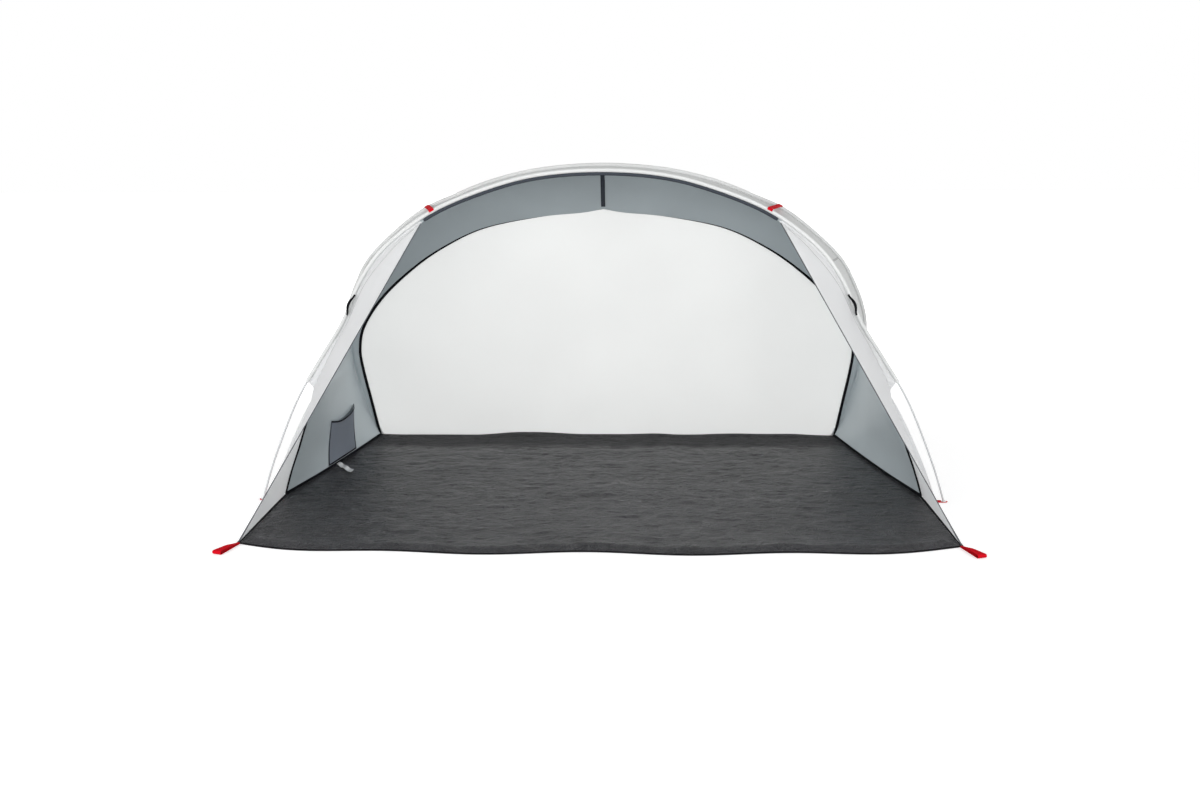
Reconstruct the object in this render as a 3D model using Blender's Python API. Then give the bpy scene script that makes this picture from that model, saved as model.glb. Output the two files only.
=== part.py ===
"""Beach tent: two bent pole arches, a taut canopy, front wings and a groundsheet.

The opening faces -Y, the back wall faces +Y and the ground is z = 0. Sizes are in metres.
Run with: blender --background --python part.py
"""

import bmesh
import bpy
import numpy as np

# Groundsheet. The corners stand FLOOR_DEPTH apart, and the front edge bows out between them.
FLOOR_WIDTH = 2.20
FLOOR_REAR_WIDTH = 1.90
FLOOR_DEPTH = 1.40
FLOOR_BOW = 0.078
FLOOR_WAVE = 0.013
FLOOR_WAVE_LENGTH = 0.615
FLOOR_WAVE_START = 0.34
FLOOR_THICKNESS = 0.0016
WALL_FOOT_SETBACK = 0.515
BOW_POWER = 6
FRONT_EDGE_STEPS = 26

# Perimeter binding, a flat strip round the groundsheet that the walls are sewn to
BINDING_WIDTH = 0.010
BINDING_HEIGHT = 0.003

# Cloth
FABRIC = 0.0016
GAP = 0.0003
WALL_BASE = BINDING_HEIGHT + FABRIC / 2

# Poles. Each arch is cut into equal sections that ferrules join.
POLE_DIAMETER = 0.0070
POLE_WALL = 0.0015
POLE_SECTIONS = 6
TUBE_SIDES = 6
FERRULE_LENGTH = 0.050
FERRULE_WALL = 0.0005
RINGS_BETWEEN_FERRULES = 7

# Front arch, upright. Its feet stand outside the groundsheet.
FRONT_POLE_OVERHANG = 0.060
FRONT_POLE_SPAN = FLOOR_WIDTH + 2 * FRONT_POLE_OVERHANG
FRONT_POLE_RISE = 1.105
FRONT_POLE_SETBACK = 0.465
FRONT_ARCH_SHARES = (
    (1.000, 0.000), (0.958, 0.129), (0.884, 0.309), (0.811, 0.434), (0.737, 0.555), (0.678, 0.685),
    (0.601, 0.786), (0.469, 0.884), (0.308, 0.952), (0.167, 0.988), (0.000, 1.000),
)

# Rear arch, leaning forwards from the rear corners
REAR_POLE_OVERHANG = 0.063
REAR_POLE_WIDTH = FLOOR_REAR_WIDTH + 2 * REAR_POLE_OVERHANG
REAR_POLE_RISE = 1.1184
REAR_POLE_LEAN = 0.600
REAR_ARCH_SHARES = (
    (0.958, 0.000), (0.982, 0.134), (0.999, 0.268), (0.999, 0.376), (0.981, 0.491), (0.922, 0.609),
    (0.841, 0.712), (0.661, 0.845), (0.511, 0.908), (0.373, 0.954), (0.206, 0.987), (0.000, 1.000),
)

# Back seam, between the canopy and the back wall, with a point at the ridge
BACK_SEAM_OVERHANG = 0.027
BACK_SEAM_WIDTH = FLOOR_REAR_WIDTH + 2 * BACK_SEAM_OVERHANG
BACK_SEAM_RISE = 0.959
BACK_SEAM_LEAN = 0.460
BACK_SEAM_SHARES = (
    (0.972, 0.000), (0.986, 0.170), (0.999, 0.330), (0.997, 0.420), (0.965, 0.520), (0.875, 0.643),
    (0.747, 0.759), (0.614, 0.850), (0.450, 0.927), (0.240, 0.970), (0.080, 0.986), (0.000, 1.000),
)
BACK_BINDING_DIAMETER = 0.009
BACK_BINDING_LEAST = 0.003
BACK_BINDING_FADE = 0.45

# Pole sleeves
SLEEVE_CLEARANCE = 0.00075
FRONT_SLEEVE_END_HEIGHT = 0.412
REAR_SLEEVE_END_HEIGHT = 0.200
HEM_DIAMETER = 0.009
SEAM_PIPING_DIAMETER = 0.003
CANOPY_INSET = 0.0135

# Wings. Below the sleeve's end each has a flange that stands off from the wall seam.
WING_TOP_WIDTH = 1.150
FLANGE_FOOT_INSET = 0.020
FLANGE_MID_INSET = 0.030
FLANGE_TOP_INSET = 0.038
FLANGE_MID_HEIGHT = 0.200
FLANGE_TOP_HEIGHT = 0.390
SEAM_FOOT_INSET = 0.055
SEAM_MID_INSET = 0.056
SEAM_TOP_INSET = 0.046
SEAM_SHOULDER_INSET = 0.030
SEAM_MERGE_HEIGHT = 0.560
WING_PIPING_DIAMETER = 0.0024
WING_BULGE = 0.012
WING_LOWER_ROWS = 7
WING_COLUMNS = 6

# Canopy panels
SHOULDER_SEAM_SHARE = 0.483
ROW_CLIMB = 0.041
CANOPY_SAG = 0.008
REAR_SAG = 0.003
POLE_STANDOFF = 0.0008
FRONT_COLUMNS = 6
REAR_COLUMNS = 3
BACK_WALL_BULGE = 0.014
BACK_WALL_ROWS = 7
BACK_WALL_INSET = 0.004
RIDGE_TAPE_WIDTH = 0.012
TAPE_THICKNESS = 0.001

# Webbing
WEBBING = 0.0015
STRAP_WIDTH = 0.018
STRAP_FRONT_WIDTH = 1.092
STRAP_REAR_WIDTH = 1.264
STRAP_WRAP_POINTS = 4
STRAP_LANDING_TURN = 30
PEG_LOOP_LENGTH = 0.104
PEG_LOOP_SPREAD = 0.034
PEG_LOOP_ROOT_WIDTH = 0.010
PEG_LOOP_END_WIDTH = 0.030
PEG_LOOP_HEIGHT = 0.0105
PEG_LOOP_NOSE_POINTS = 6
FOOT_TAB_WIDTH = 0.026
FOOT_TAB_STEPS = 8
EYELET_BORE = 0.0114
EYELET_BARREL = 0.0010
EYELET_FLANGE = 0.0036
EYELET_RIM = 0.0008
EYELET_SIDES = 16
GUY_LOOP_LENGTH = 0.074
GUY_LOOP_HEIGHT = 0.672
GUY_LOOP_WIDTH = 0.010
GUY_LOOP_RISE = 0.0080
GUY_LOOP_LIFT_SHARES = (0.0, 0.1, 0.6, 0.92, 1.0, 0.92, 0.6, 0.1, 0.0)

# Pocket on the left wall, and the blank care label on the floor beside it
POCKET_WIDTH = 0.265
POCKET_HEIGHT = 0.175
POCKET_FRONT_SETBACK = 0.330
POCKET_BASE_HEIGHT = 0.009
POCKET_DEPTH = 0.016
POCKET_MOUTH_SAG = 0.016
POCKET_TRIM_WIDTH = 0.012
POCKET_ROWS = 5
POCKET_COLUMNS = 7
LABEL_LENGTH = 0.180
LABEL_WIDTH = 0.034
LABEL_THICKNESS = 0.0008
LABEL_ROOT_SETBACK = 0.950
LABEL_ROOT_MARGIN = 0.012
LABEL_REACH = 0.098

# Places worked out from the sizes above
FRONT_EDGE = -FLOOR_DEPTH / 2
REAR_EDGE = FLOOR_DEPTH / 2
FRONT_POLE_Y = FRONT_EDGE + FRONT_POLE_SETBACK
WALL_FOOT_Y = FRONT_EDGE + WALL_FOOT_SETBACK
POLE_RADIUS = POLE_DIAMETER / 2
FERRULE_BORE = POLE_RADIUS + GAP
FERRULE_RADIUS = FERRULE_BORE + FERRULE_WALL
SLEEVE_RADIUS = FERRULE_RADIUS + SLEEVE_CLEARANCE + FABRIC
WING_EDGE_INSET = SLEEVE_RADIUS + GAP
SEAM_PIPING_SETBACK = FABRIC + GAP + SEAM_PIPING_DIAMETER / 2
CANOPY_FRONT_Y = FRONT_POLE_Y + SEAM_PIPING_SETBACK + SEAM_PIPING_DIAMETER / 2 + GAP
CREASE_INSET = SLEEVE_RADIUS + GAP + FABRIC / 2 + POLE_STANDOFF
FLOOR_TAPER = (FLOOR_WIDTH - FLOOR_REAR_WIDTH) / 2 / (REAR_EDGE - WALL_FOOT_Y)
REAR_TAB_ROOT = FLOOR_REAR_WIDTH / 2 + FLOOR_TAPER * FOOT_TAB_WIDTH / 2 + GAP
CURVE_STEPS = 40
SHARP_ANGLE = 0.7


def clear_scene():
    for thing in list(bpy.data.objects):
        bpy.data.objects.remove(thing, do_unlink=True)


def material(name, colour, roughness, metallic=0.0):
    made = bpy.data.materials.get(name) or bpy.data.materials.new(name)
    made.use_nodes = True
    shader = made.node_tree.nodes["Principled BSDF"]
    shader.inputs["Base Color"].default_value = (*colour, 1.0)
    shader.inputs["Roughness"].default_value = roughness
    shader.inputs["Metallic"].default_value = metallic
    made.diffuse_color = (*colour, 1.0)
    return made


def white_cloth():
    return material("white_cloth", (0.80, 0.82, 0.82), 0.65)


def wing_cloth():
    return material("wing_cloth", (0.72, 0.74, 0.78), 0.65)


def canopy_cloth():
    return material("canopy_cloth", (0.30, 0.35, 0.39), 0.60)


def floor_cloth():
    return material("floor_cloth", (0.05, 0.05, 0.055), 0.50)


def black_tape():
    return material("black_tape", (0.01, 0.01, 0.012), 0.60)


def grey_piping():
    return material("grey_piping", (0.30, 0.31, 0.33), 0.60)


def pocket_cloth():
    return material("pocket_cloth", (0.11, 0.12, 0.15), 0.70)


def red_webbing():
    return material("red_webbing", (0.60, 0.01, 0.02), 0.55)


def fibreglass():
    return material("fibreglass", (0.55, 0.56, 0.57), 0.35)


def steel():
    return material("steel", (0.62, 0.62, 0.62), 0.30, 1.0)


def label_cloth():
    return material("label_cloth", (0.85, 0.85, 0.85), 0.70)


def add_mesh(name, points, faces, finish):
    mesh = bpy.data.meshes.new(name)
    mesh.from_pydata([tuple(float(value) for value in point) for point in points], [], faces)
    mesh.materials.append(finish)
    shape = bmesh.new()
    shape.from_mesh(mesh)
    bmesh.ops.recalc_face_normals(shape, faces=shape.faces)
    shape.to_mesh(mesh)
    shape.free()
    mesh.shade_smooth()
    mesh.set_sharp_from_angle(angle=SHARP_ANGLE)
    made = bpy.data.objects.new(name, mesh)
    bpy.context.scene.collection.objects.link(made)
    return made


def grid_faces(rows, columns, closed=False):
    """Quads over rows x columns points. A closed grid also joins its last column to its first."""
    spans = columns if closed else columns - 1
    return [
        (
            row * columns + column,
            row * columns + (column + 1) % columns,
            (row + 1) * columns + (column + 1) % columns,
            (row + 1) * columns + column,
        )
        for row in range(rows - 1)
        for column in range(spans)
    ]


def ring_faces(rings, count):
    """Quads that join rings of points in a closed round, as in a torus."""
    faces = []
    for ring in range(rings):
        other = (ring + 1) % rings
        for i in range(count):
            j = (i + 1) % count
            faces.append((ring * count + i, ring * count + j, other * count + j, other * count + i))
    return faces


def solidify(made, thickness, offset):
    shell = made.modifiers.new("cloth", "SOLIDIFY")
    shell.thickness = thickness
    shell.offset = offset
    shell.use_even_offset = True
    return made


def sheet(name, grid, finish, thickness=FABRIC):
    """A cloth panel whose middle surface is the grid of points."""
    grid = np.asarray(grid, float)
    rows, columns = grid.shape[:2]
    made = add_mesh(name, grid.reshape(-1, 3), grid_faces(rows, columns), finish)
    return solidify(made, thickness, 0.0)


def along(path):
    """The distance from the start of a path to each of its points."""
    steps = np.linalg.norm(np.diff(path, axis=0), axis=1)
    return np.concatenate([[0.0], np.cumsum(steps)])


def at_distance(path, distances):
    """The points at these distances along a path."""
    run = along(path)
    return np.stack([np.interp(distances, run, path[:, axis]) for axis in range(path.shape[1])], -1)


def at_share(path, shares):
    return at_distance(path, np.asarray(shares) * along(path)[-1])


def at_height(path, heights):
    """The points of a rising path at these heights."""
    return np.stack([np.interp(heights, path[:, 2], path[:, axis]) for axis in range(3)], -1)


def smooth(points, before, after):
    """A Catmull-Rom curve through the points. The two extra points steer its ends."""
    points = np.vstack([before, points, after])
    share = np.linspace(0, 1, CURVE_STEPS, endpoint=False)[:, None]
    spans = []
    for first, start, end, last in zip(points, points[1:], points[2:], points[3:]):
        linear = (end - first) * share
        square = (2 * first - 5 * start + 4 * end - last) * share**2
        cubic = (3 * start - 3 * end + last - first) * share**3
        spans.append(start + (linear + square + cubic) / 2)
    return np.vstack(spans + [points[-2:-1]])


def half_arch(half_width, rise, shares, pointed=False):
    """The right half of an arch as (x, z) points, from its foot to the ridge."""
    points = np.array(shares) * (half_width, rise)
    below = 2 * points[0] - points[1]
    beyond = 2 * points[-1] - points[-2] if pointed else points[-2] * (-1, 1)
    return smooth(points, below, beyond)


def leaned(half, foot_y, lean, rise):
    """Puts (x, z) points in the plane that leans forwards by lean at the height rise."""
    return np.stack([half[:, 0], foot_y - lean * half[:, 1] / rise, half[:, 1]], -1)


def mirrored(half):
    """A whole arch from its right half, from the right foot to the left foot."""
    return np.vstack([half, half[-2::-1] * (-1, 1, 1)])


def tangents(path):
    ways = np.gradient(path, axis=0)
    return ways / np.linalg.norm(ways, axis=1)[:, None]


def lean_normal(lean, rise):
    """The backward normal of an arch's plane."""
    normal = np.array([0.0, rise, lean])
    return normal / np.linalg.norm(normal)


def outward(path, normal):
    """The direction away from the arch's middle, in its plane, at each point of the right half."""
    ways = np.cross(normal, tangents(path))
    ways /= np.linalg.norm(ways, axis=1)[:, None]
    return ways * np.where(ways[:, :1] + ways[:, 2:] < 0, -1, 1)


def above_ground(path, base=WALL_BASE):
    """The path from where it crosses the height base, upwards."""
    first = int(np.argmax(path[:, 2] > base))
    share = (base - path[first - 1, 2]) / (path[first, 2] - path[first - 1, 2])
    start = path[first - 1] + share * (path[first] - path[first - 1])
    return np.vstack([start, path[first:]])


def extended(path, length):
    """The path with a straight run added below its foot."""
    way = path[1] - path[0]
    return np.vstack([path[0] - way / np.linalg.norm(way) * length, path])


def front_half():
    half = half_arch(FRONT_POLE_SPAN / 2, FRONT_POLE_RISE, FRONT_ARCH_SHARES)
    return leaned(half, FRONT_POLE_Y, 0.0, FRONT_POLE_RISE)


def rear_half():
    half = half_arch(REAR_POLE_WIDTH / 2, REAR_POLE_RISE, REAR_ARCH_SHARES)
    return leaned(half, REAR_EDGE, REAR_POLE_LEAN, REAR_POLE_RISE)


def back_half():
    half = half_arch(BACK_SEAM_WIDTH / 2, BACK_SEAM_RISE, BACK_SEAM_SHARES, pointed=True)
    inset = REAR_EDGE - BINDING_WIDTH / 2
    return leaned(half, inset, BACK_SEAM_LEAN, BACK_SEAM_RISE)


FRONT_NORMAL = lean_normal(0.0, FRONT_POLE_RISE)
REAR_NORMAL = lean_normal(REAR_POLE_LEAN, REAR_POLE_RISE)


def inset_front(insets_by_height, y_by_height):
    """The front arch moved inwards, by an amount and to a depth that change with height."""
    path = extended(front_half(), 2 * SEAM_FOOT_INSET)
    heights = path[:, 2]
    insets = np.interp(heights, *zip(*insets_by_height))
    moved = path - outward(path, FRONT_NORMAL) * insets[:, None]
    moved[:, 1] = np.interp(moved[:, 2], *zip(*y_by_height))
    return above_ground(moved)


def flange_line():
    """The rear edge of the right wing: the flange's edge low down, and the sleeve's side above."""
    insets = (
        (0.0, FLANGE_FOOT_INSET),
        (FLANGE_MID_HEIGHT, FLANGE_MID_INSET),
        (FLANGE_TOP_HEIGHT, FLANGE_TOP_INSET),
        (FRONT_SLEEVE_END_HEIGHT, WING_EDGE_INSET),
    )
    foot_y = (WALL_FOOT_Y + FRONT_POLE_Y) / 2
    line = inset_front(insets, ((0.0, foot_y), (FRONT_SLEEVE_END_HEIGHT, FRONT_POLE_Y)))
    rings, ways = pole_rings(front_half(), FRONT_NORMAL)
    beside = rings - ways * WING_EDGE_INSET
    end = at_height(line, [FRONT_SLEEVE_END_HEIGHT])
    low = line[line[:, 2] < FRONT_SLEEVE_END_HEIGHT]
    return np.vstack([low, end, beside[beside[:, 2] > FRONT_SLEEVE_END_HEIGHT + GAP]])


def seam_line(setback=0.0):
    """Where the right wing and the side wall meet. The setback moves the line back from the wing."""
    insets = (
        (0.0, SEAM_FOOT_INSET),
        (FLANGE_MID_HEIGHT, SEAM_MID_INSET),
        (FLANGE_TOP_HEIGHT, SEAM_TOP_INSET),
        (FRONT_SLEEVE_END_HEIGHT, SEAM_SHOULDER_INSET),
        (SEAM_MERGE_HEIGHT, CANOPY_INSET),
    )
    ends = ((0.0, WALL_FOOT_Y + setback), (FRONT_SLEEVE_END_HEIGHT, FRONT_POLE_Y + setback))
    return inset_front(insets, ends)


def pole_rings(half, normal):
    """The right half of a pole's ring centres, and the outward directions there."""
    path = pole_path(half)
    stations = pole_stations(along(path)[-1])
    stations = stations[: len(stations) // 2 + 1]
    run = along(path)
    ways = outward(path, normal)
    ways = np.stack([np.interp(stations, run, ways[:, axis]) for axis in range(3)], -1)
    return at_distance(path, stations), ways / np.linalg.norm(ways, axis=1)[:, None]


def crease_line():
    """The canopy under the rear pole's sleeve, on the right half, with a point at each of its rings."""
    rings, ways = pole_rings(rear_half(), REAR_NORMAL)
    line = rings - ways * CREASE_INSET
    rise = (WALL_BASE - line[0, 2]) / (line[1, 2] - line[0, 2])
    line[0] += rise * (line[1] - line[0])
    return line


def canopy_levels():
    """The canopy's rows, as shares of its height along the crease."""
    line = crease_line()
    return along(line) / along(line)[-1]


def binding_radius(shares):
    """The back binding's radius at these shares of its right half. It thins towards the ridge."""
    fade = np.clip((1 - np.asarray(shares)) / BACK_BINDING_FADE, 0, 1)
    return (BACK_BINDING_LEAST + (BACK_BINDING_DIAMETER - BACK_BINDING_LEAST) * fade) / 2


def back_seam_line():
    return above_ground(extended(back_half(), BINDING_WIDTH))


def sagged(start, end, shares, sag, inwards):
    line = start[None] + (end - start)[None] * shares[:, None]
    return line + inwards[None] * (4 * sag * shares * (1 - shares))[:, None]


def canopy_point_rows(levels):
    """The right half of the canopy: a row from the front edge to the back seam at each level.

    A row starts up to ROW_CLIMB further along the front edge than it lies along the crease.
    """
    climbed = np.asarray(levels) + ROW_CLIMB * np.sin(np.pi * np.asarray(levels))
    front = at_share(seam_line(CANOPY_FRONT_Y - FRONT_POLE_Y), climbed)
    crease = at_share(crease_line(), levels)
    back = at_share(back_seam_line(), levels)
    seam_ways = np.gradient(back, axis=0) if len(back) > 1 else np.array([[-1.0, 0.0, 0.0]])
    seam_ways = seam_ways / np.linalg.norm(seam_ways, axis=1)[:, None]
    clear = binding_radius(levels) + GAP + FABRIC / 2
    inner = np.array([0.0, (FRONT_POLE_Y + REAR_EDGE) / 2, 0.0])
    front_shares = np.linspace(0, 1, FRONT_COLUMNS + 1)
    rear_shares = np.linspace(0, 1, REAR_COLUMNS + 1)
    rows = []
    for near, under, far, gap, seam_way in zip(front, crease, back, clear, seam_ways):
        ways = inner - under
        ways[1] = 0.0
        ways /= np.linalg.norm(ways)
        back_way = far - under
        back_way = back_way - back_way @ seam_way * seam_way
        stop = far - back_way / np.linalg.norm(back_way) * gap
        first = sagged(near, under, front_shares, CANOPY_SAG, ways)
        second = sagged(under, stop, rear_shares, REAR_SAG, ways)
        rows.append(np.vstack([first, second[1:]]))
    return np.array(rows)


def side_levels():
    """The rows of a side panel, up to just below the shoulder seam."""
    levels = canopy_levels()
    stop = SHOULDER_SEAM_SHARE - GAP / along(seam_line())[-1]
    return np.append(levels[levels < stop], stop)


def roof_levels():
    """The rows of the roof's right half, from just above the shoulder seam."""
    levels = canopy_levels()
    start = SHOULDER_SEAM_SHARE + GAP / along(seam_line())[-1]
    return np.append(start, levels[levels > start])


def add_side_panel(name, side):
    return sheet(name, canopy_point_rows(side_levels()) * (side, 1, 1), canopy_cloth())


def add_roof_panel():
    right = canopy_point_rows(roof_levels())
    right[-1, :, 0] = 0.0
    left = right[-2::-1] * (-1, 1, 1)
    return sheet("roof_panel", np.vstack([right, left]), canopy_cloth())


def wing_ends():
    """The ends of the right wing's straight front edge: at the floor's corner and on the sleeve."""
    rear = flange_line()
    corner = np.array([FLOOR_WIDTH / 2 - BINDING_WIDTH / 2, FRONT_EDGE + BINDING_WIDTH / 2, WALL_BASE])
    return corner, at_x(rear, WING_TOP_WIDTH / 2)


def wing_heights():
    """The heights of the wing's rows. Beside the sleeve they lie at its rings."""
    top = wing_ends()[1][2] - STRAP_WIDTH / 2
    rings, ways = pole_rings(front_half(), FRONT_NORMAL)
    heights = (rings - ways * WING_EDGE_INSET)[:, 2]
    inside = heights[(heights > FRONT_SLEEVE_END_HEIGHT + GAP) & (heights < top - GAP)]
    lower = np.linspace(WALL_BASE, FLANGE_TOP_HEIGHT, WING_LOWER_ROWS)
    return np.concatenate([lower, [FRONT_SLEEVE_END_HEIGHT], inside, [top]])


def wing_rows(edge=0.0):
    """The right wing: a row at each height, from this far behind its front edge to its rear edge."""
    rear = flange_line()
    seam = seam_line()
    corner, top = wing_ends()
    rows = []
    for height in wing_heights():
        share = (height - WALL_BASE) / (top[2] - WALL_BASE)
        near = corner + share * (top - corner)
        middle = at_height(seam, height)
        far = at_height(rear, height)
        near = near + (middle - near) / np.linalg.norm(middle - near) * edge
        columns = np.linspace(0, 1, WING_COLUMNS + 1)
        way = np.array([middle[1] - near[1], near[0] - middle[0], 0.0])
        way /= np.linalg.norm(way)
        bulge = WING_BULGE * 4 * share * (1 - share)
        row = sagged(near, middle, columns, bulge, way)
        rows.append(np.vstack([row, (middle + far) / 2, far]))
    return np.array(rows)


def add_wing(name, side):
    rows = wing_rows(WING_PIPING_DIAMETER + 2 * GAP)
    return sheet(name, rows * (side, 1, 1), wing_cloth())


def add_back_wall():
    """The white rear wall, from the groundsheet's rear edge up to the back seam."""
    half = back_seam_line()
    shares = canopy_levels()[1:]
    seam = at_share(half, shares)
    seam_ways = tangents(half)
    ways = np.cross(lean_normal(BACK_SEAM_LEAN, BACK_SEAM_RISE), at_share(seam_ways, shares))
    ways /= np.linalg.norm(ways, axis=1)[:, None]
    ways *= np.where(ways[:, :1] + ways[:, 2:] < 0, -1, 1)
    clear = binding_radius(shares) + GAP + FABRIC / 2
    top = seam - ways * clear[:, None]
    top[-1, 0] = 0.0
    foot_x = np.linspace(top[0, 0] - BACK_WALL_INSET, 0, len(shares))
    foot_y = np.full(len(shares), REAR_EDGE - BINDING_WIDTH / 2)
    foot = np.stack([foot_x, foot_y, np.full(len(shares), WALL_BASE)], -1)
    rows = []
    for low, high, share in zip(foot, top, shares):
        steps = np.linspace(0, 1, BACK_WALL_ROWS + 1)
        back = np.array([0.0, 1.0, 0.0])
        rows.append(sagged(low, high, steps, BACK_WALL_BULGE * share, back))
    right = np.array(rows)
    left = right[-2::-1] * (-1, 1, 1)
    return sheet("back_wall", np.vstack([right, left]), white_cloth())


def ring_points(path, normal, radii):
    """A ring of points round each point of a path, for a tube."""
    ways = tangents(path)
    across = np.cross(ways, normal)
    across /= np.linalg.norm(across, axis=1)[:, None]
    turned = np.cross(across, ways)
    angles = np.linspace(0, 2 * np.pi, TUBE_SIDES, endpoint=False)
    radii = np.broadcast_to(radii, len(path))[:, None, None]
    circle = across[:, None] * np.cos(angles)[:, None] + turned[:, None] * np.sin(angles)[:, None]
    return path[:, None] + circle * radii


def pipe(name, path, normal, radius, wall, finish):
    """A hollow tube along the path, open at both ends."""
    rings = ring_points(path, normal, radius)
    faces = grid_faces(len(path), TUBE_SIDES, closed=True)
    made = add_mesh(name, rings.reshape(-1, 3), faces, finish)
    return solidify(made, wall, -1.0)


def rod(name, path, normal, radii, finish):
    """A solid round cord or binding along the path, with closed ends."""
    rings = ring_points(path, normal, radii)
    faces = grid_faces(len(path), TUBE_SIDES, closed=True)
    last = (len(path) - 1) * TUBE_SIDES
    faces += [tuple(range(TUBE_SIDES))[::-1], tuple(range(last, last + TUBE_SIDES))]
    return add_mesh(name, rings.reshape(-1, 3), faces, finish)


def pole_stations(length):
    """Distances along a pole where its rings lie, the same for its sections, ferrules and sleeve."""
    section = length / POLE_SECTIONS
    inner = np.linspace(FERRULE_LENGTH / 2, section - FERRULE_LENGTH / 2, RINGS_BETWEEN_FERRULES)
    stations = [0.0]
    for index in range(POLE_SECTIONS):
        stations += [index * section + value for value in inner]
        stations.append((index + 1) * section)
    return np.array(stations)


def pole_path(half):
    """The whole arch from just above the ground on the right to the same on the left."""
    return mirrored(above_ground(extended(half, POLE_DIAMETER), POLE_RADIUS / 2))


def add_pole(prefix, half, normal):
    path = pole_path(half)
    length = along(path)[-1]
    stations = pole_stations(length)
    section = length / POLE_SECTIONS
    for index in range(POLE_SECTIONS):
        start = index * section + (GAP / 2 if index else 0.0)
        end = (index + 1) * section - (GAP / 2 if index < POLE_SECTIONS - 1 else 0.0)
        inside = stations[(stations > start + GAP) & (stations < end - GAP)]
        piece = at_distance(path, np.concatenate([[start], inside, [end]]))
        name = f"{prefix}_pole_section_{index + 1}"
        pipe(name, piece, normal, POLE_RADIUS, POLE_WALL, fibreglass())
    for index in range(1, POLE_SECTIONS):
        middle = index * section
        ends = (middle - FERRULE_LENGTH / 2, middle, middle + FERRULE_LENGTH / 2)
        piece = at_distance(path, ends)
        pipe(f"{prefix}_ferrule_{index}", piece, normal, FERRULE_RADIUS, FERRULE_WALL, steel())


def add_sleeve(name, half, normal, end_height):
    path = pole_path(half)
    length = along(path)[-1]
    rising = path[: len(path) // 2 + 1]
    start = float(np.interp(end_height, rising[:, 2], along(rising)))
    stations = pole_stations(length)
    inside = stations[(stations > start + POLE_DIAMETER) & (stations < length - start - POLE_DIAMETER)]
    piece = at_distance(path, np.concatenate([[start], inside, [length - start]]))
    pipe(name, piece, normal, SLEEVE_RADIUS, FABRIC, white_cloth())


def front_edge_y(x):
    """The wavy, bowed front edge of the groundsheet."""
    share = np.abs(x) / (FLOOR_WIDTH / 2)
    wave = FLOOR_WAVE * np.cos(2 * np.pi * (x + FLOOR_WAVE_START) / FLOOR_WAVE_LENGTH)
    return FRONT_EDGE - (FLOOR_BOW + wave) * (1 - share**BOW_POWER)


def floor_outline(inset):
    """The groundsheet's outline as (x, y) points, anticlockwise seen from above."""
    across = np.linspace(-FLOOR_WIDTH / 2, FLOOR_WIDTH / 2, FRONT_EDGE_STEPS + 1)
    front = np.stack([across, front_edge_y(across)], -1)
    half_rear = FLOOR_REAR_WIDTH / 2
    right = np.array([(FLOOR_WIDTH / 2, WALL_FOOT_Y), (half_rear, REAR_EDGE)])
    left = right[::-1] * (-1, 1)
    outline = np.vstack([front, right, left])
    before = outline - np.roll(outline, 1, axis=0)
    after = np.roll(outline, -1, axis=0) - outline
    normals = []
    for way in (before, after):
        way = way / np.linalg.norm(way, axis=1)[:, None]
        normals.append(np.stack([-way[:, 1], way[:, 0]], -1))
    middle = normals[0] + normals[1]
    middle /= np.sum(middle * normals[0], axis=1)[:, None]
    return outline + middle * inset


def add_floor():
    outline = floor_outline(BINDING_WIDTH + GAP)
    count = len(outline)
    low = np.column_stack([outline, np.zeros(count)])
    high = np.column_stack([outline, np.full(count, FLOOR_THICKNESS)])
    sides = [(i, (i + 1) % count, count + (i + 1) % count, count + i) for i in range(count)]
    faces = [tuple(range(count))[::-1], tuple(range(count, 2 * count))] + sides
    return add_mesh("groundsheet", np.vstack([low, high]), faces, floor_cloth())


def add_floor_binding():
    outer = floor_outline(0.0)
    inner = floor_outline(BINDING_WIDTH)
    count = len(outer)
    rings = [
        np.column_stack([outer, np.zeros(count)]),
        np.column_stack([outer, np.full(count, BINDING_HEIGHT)]),
        np.column_stack([inner, np.full(count, BINDING_HEIGHT)]),
        np.column_stack([inner, np.zeros(count)]),
    ]
    return add_mesh("floor_binding", np.vstack(rings), ring_faces(4, count), black_tape())


def add_back_binding():
    half = back_seam_line()
    shares = canopy_levels()
    right = at_share(half, shares)
    path = np.vstack([right, right[-2::-1] * (-1, 1, 1)])
    radii = np.concatenate([binding_radius(shares), binding_radius(shares)[-2::-1]])
    normal = lean_normal(BACK_SEAM_LEAN, BACK_SEAM_RISE)
    path[[0, -1], 2] += BACK_BINDING_DIAMETER / 2
    return rod("back_seam_binding", path, normal, radii, black_tape())


def add_front_hem():
    """The dark edge below the front sleeve, from one wing's top to the other's."""
    rings, ways = pole_rings(front_half(), FRONT_NORMAL)
    moved = rings - ways * (SLEEVE_RADIUS + GAP + HEM_DIAMETER / 2)
    start = at_x(moved, WING_TOP_WIDTH / 2)
    piece = np.vstack([start, moved[moved[:, 0] < start[0] - HEM_DIAMETER]])
    piece[-1, 0] = 0.0
    path = np.vstack([piece, piece[-2::-1] * (-1, 1, 1)])
    return rod("front_hem", path, FRONT_NORMAL, HEM_DIAMETER / 2, black_tape())


def add_seam_piping(name, side):
    """Dark piping in the corner between a wing and the side wall."""
    path = seam_line(SEAM_PIPING_SETBACK)
    heights = wing_heights()
    heights[0] += SEAM_PIPING_DIAMETER / 2
    heights[-1] -= STRAP_WIDTH
    piece = at_height(path, heights) * (side, 1, 1)
    return rod(name, piece, FRONT_NORMAL, SEAM_PIPING_DIAMETER / 2, black_tape())


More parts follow.
